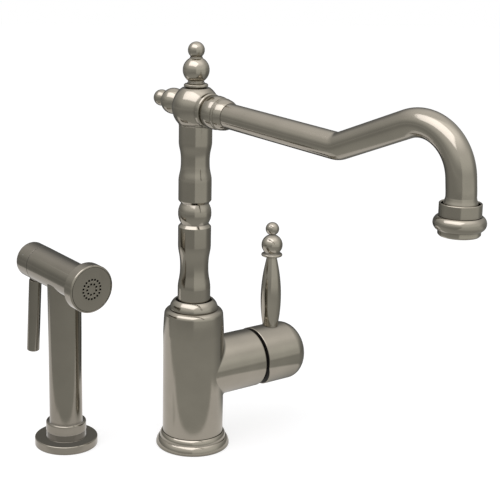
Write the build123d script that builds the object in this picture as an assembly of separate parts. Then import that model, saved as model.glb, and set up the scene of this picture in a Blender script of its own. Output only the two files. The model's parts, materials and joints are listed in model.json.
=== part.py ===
from build123d import *
import math
import os

# Side spray kitchen faucet: a turned column faucet with one side lever, and a hand spray
# that stands in its own deck holder. Millimetres and degrees.
# +Z up, user side -Y. The origin is where the faucet's axis meets the deck's top face.
# The deck holes lie along X, and the hand spray stands to the left of the faucet.

os.makedirs("parts", exist_ok=True)

# ---- fits ----
slip = 0.05            # radial clearance of pieces fitted into each other, and of bearings
play = 0.3             # gap between pieces that only pass each other

# ---- deck fixing ----
deck_thickness = 25.0  # from the deck's top face down to the washers
shank_radius = 15.5
shank_bore_radius = 11.5
shank_drop = 58.0      # below the deck's top face
shank_engagement = 8.0
gasket_thickness = 2.0
gasket_radius = 25.6
washer_radius = 27.0
washer_thickness = 2.0
nut_flats = 46.0
nut_height = 10.0
port_radius = 4.3      # hose threads in the body's underside
port_depth = 11.0
port_offset = 6.2

# ---- base flange ----
flange_radius = 29.3
flange_height = 11.6
flange_waist_radius = 26.7   # at the groove between the two beads
flange_waist_height = 6.9

# ---- faucet body ----
body_radius = 24.1
body_over_branch = 52.0      # from the branch axis up to the body's top face
body_top_radius = 23.3
body_taper_height = 15.0
body_shoulder = 4.6
column_socket_radius = 13.0
column_socket_depth = 17.4
spigot_bore_depth = 30.0
diverter_bore_radius = 7.6
diverter_sump = 10.8         # diverter's floor below the water way
diverter_sleeve_bore = 4.6

# ---- side branch and cartridge ----
branch_angle = 32.5          # about +Z from +X
branch_rise = 49.8           # branch axis above the flange's top
branch_radius = 23.4
branch_reach = 57.5          # from the body's axis to the branch's end
branch_fillet = 2.4
junction_fillet = 3.0         # soft corner between body and branch
cartridge_radius = 17.5
cartridge_foot = 22.0        # from the body's axis to the cartridge's seat
cartridge_length = 28.0
cartridge_wall = 2.3
seal_ring_radius = 3.9
seal_wire = 0.75
disc_thickness = 3.2
moving_disc_radius = 12.0
disc_throw = 3.2             # slide of the moving disc, half of it each way
water_way_offset = 8.6
water_way_radius = 3.0
carrier_neck_radius = 12.2
nut_ring_radius = 19.0
nut_ring_height = 7.0
pivot_inset = 3.0            # pivot pin from the cartridge's front face
pivot_pin_radius = 1.5
spindle_width = 7.6

# ---- handle ----
handle_gap = 1.5             # between the branch's end and the hub
hub_radius = 23.85
hub_length = 30.0            # straight part
hub_dome = 15.8
hub_wall = 3.3
hub_recess = 7.5
hub_wedge = 5.5              # cut below the hub that lets it tilt outward
wedge_start = 4.0            # below the branch axis
socket_depth = 10.0
lever_offset = 18.0          # lever axis from the hub's rear face
lever_foot_radius = 6.3
lever_belly_radius = 8.35
lever_neck_radius = 3.95
lever_length = 61.0
lever_belly_height = 26.0
lever_stud_radius = 2.9
lever_ring_radius = 8.6
lever_ring_height = 2.9
lever_ball_radius = 8.6
lever_tip_radius = 5.5
grub_radius = 2.0
grub_length = 11.0

# ---- column ----
collar_radius = 19.0
collar_height = 7.6
collar_skirt_radius = 16.5
collar_skirt_depth = 9.4
collar_mouth_radius = 13.4
riser_radius = 7.0
riser_bore_radius = 5.2
riser_spigot_radius = 9.0
riser_flange_height = 4.0
clip_radius = 9.6
clip_thickness = 1.2
band_radius = 12.85
waist_radius = 11.1
column_chamfer = 2.0
lower_length = 66.4
upper_length = 60.8
foot_band = 16.0             # plain band at the column's foot
top_band = 14.0              # plain band under the spout hub
middle_band = 18.5           # plain band on each side of the bead
bead_height = 16.4
bead_radius = 12.95
bead_pole_radius = 10.6

# ---- spout hub and finials ----
hub_ball_radius = 18.3
hub_ball_rise = 13.7         # hub centre above its foot
hub_lip_radius = 13.15
hub_lip_height = 1.5
hub_cap_radius = 10.8
finial_ring_radius = 9.3
finial_ring_height = 3.2
finial_neck_radius = 6.7
finial_neck_height = 2.6
finial_ball_radius = 10.2
finial_collar_radius = 4.9
finial_collar_height = 0.9
finial_tip_radius = 6.4
finial_stud_radius = 3.0
finial_stud_length = 8.0

# ---- spout ----
spout_angle = -52.0          # about +Z from +X
spout_droop = 3.45           # first run below level
spout_rise = 21.57           # second run above level
first_run = 148.8            # from the hub's centre to the bend
crown_inset = 4.6            # the arch's corner is this far inside the last drop's axis
spout_reach = 251.3
bend_radius = 15.0
arch_radius = 32.2
drop_radius = 45.0
drop_length = 58.5           # from the arch's corner down to the outlet cup's rim
plumb_length = 6.3           # plumb part of the drop above the rim
tube_radius = 9.5
tube_wall = 1.2
boss_radius = 12.0
boss_length = 15.9
tube_engagement = 5.0
ferrule_radius = 13.3
ferrule_thickness = 2.0
spout_collar_radius = 12.9
spout_collar_length = 13.4
spout_nose_length = 9.6

# ---- outlet ----
cup_radius = 13.2
cup_depth = 8.2
cup_wall = 1.3
ring_radius = 16.4
ring_height = 8.6
aerator_radius = 13.2
aerator_height = 3.8
aerator_insert_radius = 10.8

# ---- hand spray holder ----
deck_hole_spacing = 101.6
holder_radius = 25.1
holder_disc_height = 6.6
holder_neck_radius = 15.75
holder_neck_height = 5.6
holder_ring_radius = 16.05
holder_ring_height = 8.0
holder_mouth_radius = 13.75
holder_bore_radius = 10.9
holder_shank_radius = 13.4
holder_shank_drop = 48.0
holder_gasket_radius = 21.5
holder_washer_radius = 22.5
holder_nut_flats = 38.0
bush_height = 4.0

# ---- hand spray ----
stem_radius = 13.1
stem_top_radius = 13.3
stem_bore_radius = 8.0
head_height = 140.0          # head axis above the deck where it crosses the stem
head_angle = -54.5           # about +Z from +X
head_droop = 2.4             # front of the head below level
barrel_radius = 13.7         # at the front
barrel_rear_radius = 14.3
barrel_wall = 2.4
barrel_front = 30.0          # from the stem's axis
barrel_rear = 34.0
cap_length = 17.0
spray_collar_radius = 18.9
spray_collar_length = 10.0
collar_spigot_length = 8.0
spray_wall = 1.4
spray_face_thickness = 2.0
outer_holes = 18
outer_hole_ring = 7.7
inner_holes = 9
inner_hole_ring = 4.2
spray_hole_radius = 0.55
squeeze_radius = 5.15        # squeeze lever rod
squeeze_length = 84.0        # below its pin
squeeze_shoulder = 21.8      # top of the round rod below the pin
tang_width = 6.0
tang_depth = 8.4
squeeze_splay = 5.3          # rod from plumb, bottom outward
squeeze_pivot_rise = 6.0     # pin above the head axis
squeeze_pivot_set = 43.0     # pin behind the stem's axis
squeeze_pin_radius = 1.5
plunger_radius = 1.9
seat_start = 8.0
seat_length = 5.7
valve_disc_radius = 5.4
spring_mean_radius = 3.2
spring_wire = 0.35
spring_turns = 6
inlet_nut_flats = 15.5
inlet_port_radius = 5.4

# ---- places that follow from the sizes ----
body_foot = flange_height
branch_height = body_foot + branch_rise
body_top = branch_height + body_over_branch
cartridge_face = cartridge_foot + cartridge_length
pivot_reach = cartridge_face - pivot_inset
hub_rear = branch_reach + handle_gap
hub_end = hub_rear + hub_length + hub_dome
lever_reach = hub_rear + lever_offset
lever_seat = branch_height + hub_radius - 2.2
lever_top = lever_seat + lever_length
socket_floor = body_top - column_socket_depth
spigot_floor = socket_floor - spigot_bore_depth
way_height = branch_height - water_way_offset
diverter_floor = way_height - diverter_sump
collar_web_top = body_top + 2.0
column_foot = collar_web_top + play
lower_top = column_foot + lower_length
upper_foot = lower_top + bead_height
upper_top = upper_foot + upper_length
hub_centre = upper_top + hub_ball_rise
hub_cap_top = hub_centre + math.sqrt(hub_ball_radius**2 - hub_cap_radius**2)
bend_reach = first_run * math.cos(math.radians(spout_droop))
bend_height = hub_centre - first_run * math.sin(math.radians(spout_droop))
crown_reach = spout_reach - crown_inset
crown_height = bend_height + (crown_reach - bend_reach) * math.tan(math.radians(spout_rise))
cup_rim_height = crown_height - drop_length
ring_top = cup_rim_height - cup_depth
aerator_top = ring_top - ring_height
aerator_foot = aerator_top - aerator_height
neck_top = holder_disc_height + holder_neck_height
bush_floor = neck_top - bush_height
stem_foot = neck_top
head_front = barrel_front + spray_collar_length
cap_rear = barrel_rear + cap_length


def direction(azimuth, elevation=0.0):
    a, e = math.radians(azimuth), math.radians(elevation)
    return Vector(math.cos(a) * math.cos(e), math.sin(a) * math.cos(e), math.sin(e))


def along(origin, axis):
    """Local frame with +Z along the axis and +X as near to world up as it goes."""
    up = Vector(0, 0, 1)
    up = (up - axis * up.dot(axis)).normalized()
    return Plane(origin=origin, x_dir=up, z_dir=axis).location


branch = along((0, 0, branch_height), direction(branch_angle))
spout_axis = direction(spout_angle, -spout_droop)
spout = along((0, 0, hub_centre), spout_axis)
rear = along((0, 0, hub_centre), spout_axis * -1)
outlet_x = spout_reach * direction(spout_angle).X
outlet_y = spout_reach * direction(spout_angle).Y
outlet = Pos(outlet_x, outlet_y, 0)
spray = Pos(-deck_hole_spacing, 0, 0)
head = along((-deck_hole_spacing, 0, head_height), direction(head_angle, -head_droop))


def save(shape, name):
    export_step(shape, f"parts/{name}.step")


def turned(start, *steps):
    """Revolve a closed outline of (radius, height) points about +Z. A step is a point, an arc
    as (middle, end), a smooth curve as a list of points, or ("dome", height of its pole)."""
    edges, here = [], start
    for step in steps:
        if isinstance(step, list):
            points = [here] + step
            edges.append(Edge.make_spline([Vector(r, 0, h) for r, h in points]))
            here = step[-1]
        elif isinstance(step[0], tuple):
            middle, end = step
            edges.append(Edge.make_three_point_arc(*[Vector(r, 0, h) for r, h in (here, middle, end)]))
            here = end
        elif isinstance(step[0], str):
            # quarter of an ellipse up to its pole on the axis
            pole = step[1]
            bend = [math.radians(angle) for angle in (0, 22.5, 45, 67.5, 90)]
            points = [Vector(here[0] * round(math.cos(a), 9), 0, here[1] + (pole - here[1]) * math.sin(a)) for a in bend]
            edges.append(Edge.make_spline(points, tangents=[(0, 0, 1), (-1, 0, 0)]))
            here = (0, pole)
        else:
            edges.append(Edge.make_line(Vector(here[0], 0, here[1]), Vector(step[0], 0, step[1])))
            here = step
    edges.append(Edge.make_line(Vector(here[0], 0, here[1]), Vector(start[0], 0, start[1])))
    return revolve(Face(Wire(edges)), Axis.Z)


def tube(outer, inner, low, high, chamfer_size=0.0):
    c = chamfer_size
    return turned((inner, low), (outer - c, low), (outer, low + c), (outer, high - c),
                  (outer - c, high), (inner, high)) if c else turned(
        (inner, low), (outer, low), (outer, high), (inner, high))


def rod(radius, low, high):
    return Pos(0, 0, low) * Cylinder(radius, high - low, align=(Align.CENTER, Align.CENTER, Align.MIN))


def block(width, depth, low, high):
    return Pos(0, 0, low) * Box(width, depth, high - low, align=(Align.CENTER, Align.CENTER, Align.MIN))


def hexagon(flats, low, high):
    sketch = RegularPolygon(flats / 2, 6, major_radius=False)
    return Pos(0, 0, low) * extrude(sketch, high - low)


def ring_seal(mean_radius, wire, height):
    return Pos(0, 0, height) * Torus(mean_radius, wire)


def quarter_round(radius, height, size):
    """Middle and end point of a rounded edge that turns from a wall in to a top face."""
    part = size * math.cos(math.pi / 4)
    return (radius - size + part, height + part), (radius - size, height + size)


def ball_arc(radius, centre, low, high):
    """Middle point and end point of a ball's outline from one height to another."""
    mid = (low + high) / 2
    end = radius**2 - (high - centre)**2
    return ((math.sqrt(radius**2 - (mid - centre)**2), mid), (math.sqrt(end) if end > 1e-6 else 0, high))


# ------------------------------------------------------------------ deck fixing
def mounting_shank():
    return tube(shank_radius, shank_bore_radius, -shank_drop, body_foot + shank_engagement, 0.8)


def hex_nut(flats, bore, top, height):
    # chamfered corners: the hexagon cut by a double cone
    cone = turned((bore, top - height), (flats / 2 - 0.6, top - height), (flats / 2 + 2.6, top - height + 1.8),
                  (flats / 2 + 2.6, top - 1.8), (flats / 2 - 0.6, top), (bore, top))
    return hexagon(flats, top - height, top) & cone


save(mounting_shank(), "mounting_shank")
save(tube(gasket_radius, shank_radius + play, 0, gasket_thickness), "deck_gasket")
save(tube(washer_radius, shank_radius + play, -deck_thickness - washer_thickness, -deck_thickness),
     "shank_washer")
save(hex_nut(nut_flats, shank_radius + slip, -deck_thickness - washer_thickness, nut_height), "shank_nut")


# ------------------------------------------------------------------ base flange
def base_flange():
    bore = shank_radius + play
    recess = gasket_radius + slip
    bead_end = body_radius + 0.3
    return turned((bore, gasket_thickness), (recess, gasket_thickness), (recess, 0), (flange_radius - 0.4, 0),
                  (flange_radius, 0.7),
                  ((flange_radius - 0.55, 3.9), (flange_waist_radius + 0.25, flange_waist_height)),
                  (flange_waist_radius - 0.35, flange_waist_height + 0.25),
                  ((flange_waist_radius - 0.75, 9.6), (bead_end, flange_height)),
                  (bore, flange_height))


save(base_flange(), "base_flange")


# ------------------------------------------------------------------ faucet body
def faucet_body():
    shoulder = body_top - body_shoulder
    outside = turned((0, body_foot), (body_radius - 0.3, body_foot), (body_radius, body_foot + 0.3),
                     (body_radius, shoulder - body_taper_height),
                     [(body_top_radius + 0.35, shoulder - body_taper_height / 3), (body_top_radius, shoulder)],
                     quarter_round(body_top_radius, shoulder, body_shoulder), (0, body_top))
    arm = branch * turned((0, 0), (branch_radius, 0), (branch_radius, branch_reach - branch_fillet),
                          ((branch_radius - 0.7, branch_reach - 0.7), (branch_radius - branch_fillet, branch_reach)),
                          (0, branch_reach))
    shell = outside + arm
    # the casting's soft corner where the branch meets the body
    meeting = [edge for edge in new_edges(outside, arm, combined=shell)
               if edge.geom_type not in (GeomType.LINE, GeomType.CIRCLE)]
    shell = fillet(meeting, junction_fillet)
    # cartridge chamber, wider at its mouth for the nut ring's thread
    shell -= branch * rod(cartridge_radius + slip, cartridge_foot, branch_reach + 1)
    shell -= branch * rod(nut_ring_radius + slip, cartridge_face, branch_reach + 1)
    # swivel socket, spigot bore, diverter bore and the way from the diverter to the cartridge
    shell -= rod(collar_skirt_radius + slip, body_top - collar_skirt_depth, body_top + 1)
    shell -= rod(column_socket_radius, socket_floor, body_top)
    shell -= rod(riser_spigot_radius + slip, spigot_floor, socket_floor + 1)
    shell -= rod(diverter_bore_radius, diverter_floor, spigot_floor + 1)
    shell -= branch * Pos(-water_way_offset, 0, 0) * rod(water_way_radius, 0, cartridge_foot + 1)
    # shank thread and the three hose ports in its roof
    shell -= rod(shank_radius + slip, body_foot - 1, body_foot + shank_engagement)
    for turn in port_angles:
        spot = direction(turn) * port_offset
        roof = body_foot + shank_engagement
        shell -= Pos(spot.X, spot.Y, 0) * rod(port_radius, roof - 1, roof + port_depth)
    # way from the diverter down to the spray's port
    spot = direction(port_angles[0]) * (0.6 * port_offset)
    shell -= Pos(spot.X, spot.Y, 0) * rod(2.5, body_foot + shank_engagement + port_depth - 1, diverter_floor + 1)
    return shell


port_angles = [branch_angle, branch_angle + 120, branch_angle + 240]
save(faucet_body(), "faucet_body")


# ------------------------------------------------------------------ diverter
def diverter_sleeve():
    top = spigot_floor - 0.5
    outer = diverter_bore_radius - slip
    sleeve = tube(outer, diverter_sleeve_bore, diverter_floor, top)
    # side windows that the mixed water comes in through
    for turn in (branch_angle, branch_angle + 90):
        sleeve -= Rot(0, 0, turn) * Pos(0, 0, way_height) * Rot(0, 90, 0) * Cylinder(
            water_way_radius, 4 * diverter_bore_radius)
    return sleeve


def diverter_piston():
    low = diverter_floor + 0.4
    r = diverter_sleeve_bore - slip
    return turned((0, low), (r - 0.5, low), (r, low + 0.5), (r, low + 2.6), (1.6, low + 2.6), (1.6, low + 5),
                  (r, low + 5), (r, low + 6.6), (2.2, low + 8.0), (0, low + 8.0))


save(diverter_sleeve(), "diverter_sleeve")
save(diverter_piston(), "diverter_piston")


# ------------------------------------------------------------------ cartridge
seal_height = cartridge_foot + seal_wire + 0.02
case_foot = cartridge_foot + 0.7
fixed_disc_foot = case_foot + 3.3
moving_disc_foot = fixed_disc_foot + disc_thickness
carrier_foot = moving_disc_foot + disc_thickness
case_lip = cartridge_face - 3.4
water_ways = [180, 60, 300]      # outlet below, hot and cold above it


def cartridge_case():
    inner = cartridge_radius - cartridge_wall
    case = turned((0, case_foot), (cartridge_radius, case_foot), (cartridge_radius, cartridge_face),
                  (carrier_neck_radius + 0.6, cartridge_face), (carrier_neck_radius + 0.6, case_lip),
                  (inner, case_lip), (inner, fixed_disc_foot), (0, fixed_disc_foot))
    for turn in water_ways:
        spot = direction(turn) * water_way_offset
        case -= Pos(spot.X, spot.Y, 0) * rod(water_way_radius - 0.1, case_foot - 1, fixed_disc_foot + 1)
        # groove that holds the seal ring
        case -= Pos(spot.X, spot.Y, 0) * tube(seal_ring_radius + seal_wire + slip,
                                              seal_ring_radius - seal_wire - slip, case_foot - 1,
                                              cartridge_foot + 2 * seal_wire + slip)
    return branch * case


def cartridge_seals():
    return Compound([branch * Pos(*(direction(turn) * water_way_offset)) * ring_seal(seal_ring_radius, seal_wire, seal_height)
                     for turn in water_ways])


def fixed_disc():
    disc = rod(cartridge_radius - cartridge_wall - slip, fixed_disc_foot, moving_disc_foot)
    for turn in water_ways:
        spot = direction(turn) * water_way_offset
        disc -= Pos(spot.X, spot.Y, 0) * rod(water_way_radius, fixed_disc_foot - 1, moving_disc_foot + 1)
    return branch * disc


def moving_disc():
    disc = Pos(-disc_throw / 2, 0, 0) * rod(moving_disc_radius, moving_disc_foot, carrier_foot)
    hollow = Pos(-disc_throw / 2, 0, moving_disc_foot - 1) * extrude(SlotCenterToCenter(8.0, 6.0), 2.4)
    slot = Pos(0, 0, carrier_foot - 1.8) * extrude(Rectangle(7.0, 4.2), 3)
    return branch * (disc - hollow - slot)


def cartridge_carrier():
    outer = cartridge_radius - cartridge_wall - slip
    neck_top_reach = cartridge_face + 3.0
    body = turned((0, carrier_foot), (outer, carrier_foot), (outer, case_lip - slip),
                  (carrier_neck_radius, case_lip - slip), (carrier_neck_radius, neck_top_reach), (0, neck_top_reach))
    # flared slot that the spindle swings in, and the hole for its pivot pin
    wide = spindle_width + 2 * play
    body -= Pos(0, 0, carrier_foot - 1) * extrude(Rectangle(14.0, wide), pivot_reach - carrier_foot + 1)
    body -= Pos(-1.0, 0, pivot_reach - 3.0) * extrude(Rectangle(11.2, wide), 12)
    body -= Pos(0, 0, pivot_reach) * Rot(90, 0, 0) * Cylinder(pivot_pin_radius, 40)
    return branch * body


def pivot_pin():
    return branch * Pos(0, 0, pivot_reach) * Rot(90, 0, 0) * Cylinder(pivot_pin_radius, 2 * carrier_neck_radius - 2.4)


def cartridge_spindle():
    inner_reach = pivot_reach - 10.2
    bar = block(spindle_width, spindle_width, pivot_reach - 4.5, hub_rear + hub_recess + socket_depth - 0.5)
    # rounded foot that reaches into the moving disc
    foot = turned((0, carrier_foot - 1.4), (1.6, carrier_foot - 1.4),
                  ((2.0, carrier_foot - 0.2), (1.6, carrier_foot + 1.2)), (1.6, pivot_reach - 4.4),
                  (0, pivot_reach - 4.4))
    bar += foot
    bar -= Pos(0, 0, pivot_reach) * Rot(90, 0, 0) * Cylinder(pivot_pin_radius + slip, 40)
    return branch * bar


def cartridge_nut():
    top = cartridge_face + nut_ring_height
    ring = tube(nut_ring_radius, carrier_neck_radius + play, cartridge_face, top, 0.5)
    # six spanner notches round the mouth
    for index in range(6):
        ring -= Rot(0, 0, 60 * index) * Pos(nut_ring_radius - 3.6, 0, top - 2.4) * Box(
            3.0, 4.0, 5.0, align=(Align.CENTER, Align.CENTER, Align.MIN))
    return branch * ring


for make in (cartridge_case, cartridge_seals, fixed_disc, moving_disc, cartridge_carrier, pivot_pin,
             cartridge_spindle, cartridge_nut):
    save(make(), make.__name__)


# ------------------------------------------------------------------ handle
def handle_hub():
    straight_end = hub_rear + hub_length
    hub = turned((0, hub_rear), (hub_radius - 0.4, hub_rear), (hub_radius, hub_rear + 0.4),
                 (hub_radius, straight_end), ("dome", hub_end))
    hub -= rod(hub_radius - hub_wall, hub_rear - 1, hub_rear + hub_recess)
    # square socket on the spindle
    socket = spindle_width + 2 * slip
    hub -= block(socket, socket, hub_rear + hub_recess - 1, hub_rear + hub_recess + socket_depth)
    # lever seat with its stud thread, and the grub screw's thread underneath
    seat = Pos(0, 0, lever_reach) * Rot(0, 90, 0)
    hub -= seat * rod(lever_foot_radius + slip, lever_seat - branch_height, hub_radius + 2)
    hub -= seat * rod(lever_stud_radius + slip, lever_seat - branch_height - 11, hub_radius)
    screw = Pos(0, 0, hub_rear + hub_recess + socket_depth / 2) * Rot(0, -90, 0)
    hub -= screw * rod(grub_radius + slip, spindle_width / 2 - 0.2, hub_radius + 1)
    # wedge below: room for the hub to tilt outward
    far = hub_radius + 2
    slope = hub_wedge / (hub_radius - wedge_start)
    wedge = Polygon((-far, hub_rear - 1), (1 / slope - wedge_start, hub_rear - 1),
                    (-far, hub_rear + (far - wedge_start) * slope), align=None)
    cut = extrude(Plane.XZ * wedge, far, both=True)
    return branch * (hub - cut)


def grub_screw():
    screw = rod(grub_radius, spindle_width / 2 + slip, spindle_width / 2 + slip + grub_length)
    key = hexagon(2.0, spindle_width / 2 + grub_length - 2.5, spindle_width / 2 + grub_length + 1)
    return branch * Pos(0, 0, hub_rear + hub_recess + socket_depth / 2) * Rot(0, -90, 0) * (screw - key)


def lever_frame():
    spot = direction(branch_angle) * lever_reach
    return Pos(spot.X, spot.Y, 0)


def handle_lever():
    low, top = lever_seat, lever_top
    belly = low + lever_belly_height
    shape = turned((0, low), (lever_foot_radius, low), (lever_foot_radius, low + 2.4),
                   [(lever_foot_radius + 0.72 * (lever_belly_radius - lever_foot_radius), low + 0.52 * lever_belly_height),
                    (lever_belly_radius, belly),
                    (0.64 * lever_belly_radius + 0.36 * lever_neck_radius, belly + 0.59 * (top - belly)),
                    (lever_neck_radius, top)],
                   (0, top))
    stud = rod(lever_stud_radius, low - 10, low + 1)
    return lever_frame() * (shape + stud - rod(2.0 + slip, top - 9, top + 1))


def lever_finial():
    low = lever_top
    ring_end = low + lever_ring_height
    ball_low = ring_end + 0.9
    ball_foot_radius = 6.2
    centre = ball_low + math.sqrt(lever_ball_radius**2 - ball_foot_radius**2)
    neck = 2.75
    ball_top = centre + math.sqrt(lever_ball_radius**2 - neck**2)
    tip_low = ball_top + 0.4
    tip_centre = tip_low + math.sqrt(lever_tip_radius**2 - neck**2)
    mid_ring = low + lever_ring_height / 2
    return lever_frame() * turned(
        (0, low - 8), (2.0, low - 8), (2.0, low), (6.3, low), (lever_ring_radius - 0.5, low + 0.5),
        ((lever_ring_radius, mid_ring), (lever_ring_radius - 0.5, ring_end - 0.4)),
        (ball_foot_radius, ring_end), (ball_foot_radius, ball_low),
        ball_arc(lever_ball_radius, centre, ball_low, ball_top), (neck, tip_low),
        ball_arc(lever_tip_radius, tip_centre, tip_low, tip_centre + lever_tip_radius))


for make in (handle_hub, grub_screw, handle_lever, lever_finial):
    save(make(), make.__name__)


# ------------------------------------------------------------------ column collar and riser
def column_collar():
    base = body_top
    top = base + collar_height
    return turned((riser_radius + play, base - collar_skirt_depth), (collar_skirt_radius, base - collar_skirt_depth),
                  (collar_skirt_radius, base), (collar_radius - 0.2, base), (collar_radius, base + 0.8),
                  ((collar_radius - 1.45, base + 4.9), (collar_mouth_radius + 1.5, top - 0.15)),
                  (collar_mouth_radius + 0.5, top), (collar_mouth_radius, top - 0.5),
                  (collar_mouth_radius, collar_web_top), (riser_radius + play, collar_web_top))


riser_foot = spigot_floor + 1.0
seal_grooves = [riser_foot + 7.0, riser_foot + 16.0]
riser_seal_wire = 0.92
seal_groove_depth = 1.9
flange_top = socket_floor + riser_flange_height
riser_top = hub_centre - 6.0


def riser_tube():
    groove = riser_spigot_radius - seal_groove_depth
    shape = turned((riser_bore_radius, riser_foot), (riser_spigot_radius - 0.8, riser_foot),
                   (riser_spigot_radius, riser_foot + 0.8), (riser_spigot_radius, socket_floor),
                   (column_socket_radius - slip, socket_floor), (column_socket_radius - slip, flange_top),
                   (riser_radius, flange_top), (riser_radius, riser_top), (riser_bore_radius, riser_top))
    for height in seal_grooves:
        shape -= tube(riser_spigot_radius + 1, groove, height - 1.4, height + 1.4)
    clip_low = column_foot
    shape -= tube(riser_radius + 1, riser_radius - 0.7, clip_low, clip_low + clip_thickness)
    return shape


def riser_seals():
    mean = riser_spigot_radius - seal_groove_depth / 2 + slip / 2
    return Compound([ring_seal(mean, riser_seal_wire, height) for height in seal_grooves])


def glide_ring():
    high = body_top - collar_skirt_depth - slip
    return tube(column_socket_radius - slip, riser_radius + slip, flange_top, high)


def column_clip():
    ring = tube(clip_radius, riser_radius - 0.65, column_foot, column_foot + clip_thickness)
    return ring - Pos(clip_radius, 0, column_foot) * Box(2 * clip_radius, 3.0, 6.0)


for make in (column_collar, riser_tube, riser_seals, glide_ring, column_clip):
    save(make(), make.__name__)


# ------------------------------------------------------------------ column
def sleeve(low, high, low_band, high_band, low_round, high_round):
    """Turned sleeve: plain bands at both ends and a hollow waist between them."""
    bore = riser_radius + slip
    r, w = band_radius, waist_radius
    a, b = low + low_band, high - high_band
    third = 0.3 * (r - w)
    return turned((bore, low), (r - low_round, low), (r, low + low_round * 1.15), (r, a),
                  [(w + third, a + 0.24 * (b - a)), (w, (a + b) / 2), (w + third, b - 0.24 * (b - a)), (r, b)],
                  (r, high - high_round * 1.15), (r - high_round, high), (bore, high))


def column_lower():
    shape = sleeve(column_foot, lower_top, foot_band, middle_band, 0.5, column_chamfer)
    return shape - rod(clip_radius + slip, column_foot - 1, column_foot + clip_thickness)


def column_bead():
    centre = (lower_top + upper_foot) / 2
    bore = riser_radius + slip
    rise = 0.28 * (upper_foot - lower_top)
    swell = bead_pole_radius + 0.71 * (bead_radius - bead_pole_radius)
    return turned((bore, lower_top), (bead_pole_radius, lower_top),
                  [(swell, centre - rise), (bead_radius, centre), (swell, centre + rise),
                   (bead_pole_radius, upper_foot)], (bore, upper_foot))


def column_upper():
    return sleeve(upper_foot, upper_top, middle_band, top_band, column_chamfer, 0.2)


for make in (column_lower, column_bead, column_upper):
    save(make(), make.__name__)


# ------------------------------------------------------------------ spout hub
def spout_hub():
    foot = upper_top
    ball_foot = foot + hub_lip_height
    ball_foot_radius = math.sqrt(hub_ball_radius**2 - (hub_centre - ball_foot)**2)
    ball = turned((0, foot), (hub_lip_radius - 0.25, foot), (hub_lip_radius, foot + 0.5),
                  (hub_lip_radius, ball_foot - 0.3), (hub_lip_radius - 0.4, ball_foot), (ball_foot_radius, ball_foot),
                  ball_arc(hub_ball_radius, hub_centre, ball_foot, hub_cap_top), (0, hub_cap_top))
    ball += spout * tube(boss_radius, 0.5, 4, boss_length)
    # riser socket, water way, tube socket, and the two finial threads
    ball -= rod(riser_radius + slip, foot - 1, riser_top)
    ball -= rod(riser_bore_radius, riser_top - 1, hub_centre + 3)
    ball -= spout * rod(riser_bore_radius, 0, hub_ball_radius + 1)
    ball -= spout * rod(tube_radius + slip, boss_length - tube_engagement, hub_ball_radius + 1)
    ball -= Pos(0, 0, hub_cap_top) * rod(finial_stud_radius + slip, -finial_stud_length - 0.5, 1)
    ball -= rear * rod(finial_stud_radius + slip, 7.5, hub_ball_radius + 1)
    ball -= rear * rod(finial_neck_radius + slip, rear_seat, hub_ball_radius + 1)
    return ball


rear_seat = hub_ball_radius - 2.0


def finial_ring():
    low, high = hub_cap_top, hub_cap_top + finial_ring_height
    bore = finial_stud_radius + slip
    return turned((bore, low), (finial_ring_radius - 1.3, low), (finial_ring_radius - 1.1, low + 0.6),
                  (finial_ring_radius, low + 1.2), (finial_ring_radius - 0.1, high - 0.6),
                  (finial_ring_radius - 0.9, high), (bore, high))


def finial(low, stud_length):
    """Neck, large ball, small collar and tip ball on a stud, with the neck's foot at low."""
    neck_end = low + finial_neck_height
    centre = neck_end + math.sqrt(finial_ball_radius**2 - finial_neck_radius**2)
    ball_end = centre + math.sqrt(finial_ball_radius**2 - finial_collar_radius**2)
    collar_end = ball_end + finial_collar_height
    tip_foot = finial_collar_radius - 0.7
    tip_centre = collar_end + 0.3 + math.sqrt(finial_tip_radius**2 - tip_foot**2)
    return turned((0, low - stud_length), (finial_stud_radius, low - stud_length), (finial_stud_radius, low),
                  (finial_neck_radius, low), (finial_neck_radius, low + 0.9), (finial_neck_radius - 0.5, low + 1.2),
                  (finial_neck_radius - 0.5, neck_end - 0.3), (finial_neck_radius, neck_end),
                  ball_arc(finial_ball_radius, centre, neck_end, ball_end),
                  (finial_collar_radius, collar_end), (tip_foot, collar_end + 0.3),
                  ball_arc(finial_tip_radius, tip_centre, collar_end + 0.3, tip_centre + finial_tip_radius))


def top_finial():
    return finial(hub_cap_top + finial_ring_height, finial_ring_height + finial_stud_length)


def rear_finial():
    return rear * finial(rear_seat, rear_seat - 8.0)


for make in (spout_hub, finial_ring, top_finial, rear_finial):
    save(make(), make.__name__)


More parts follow.
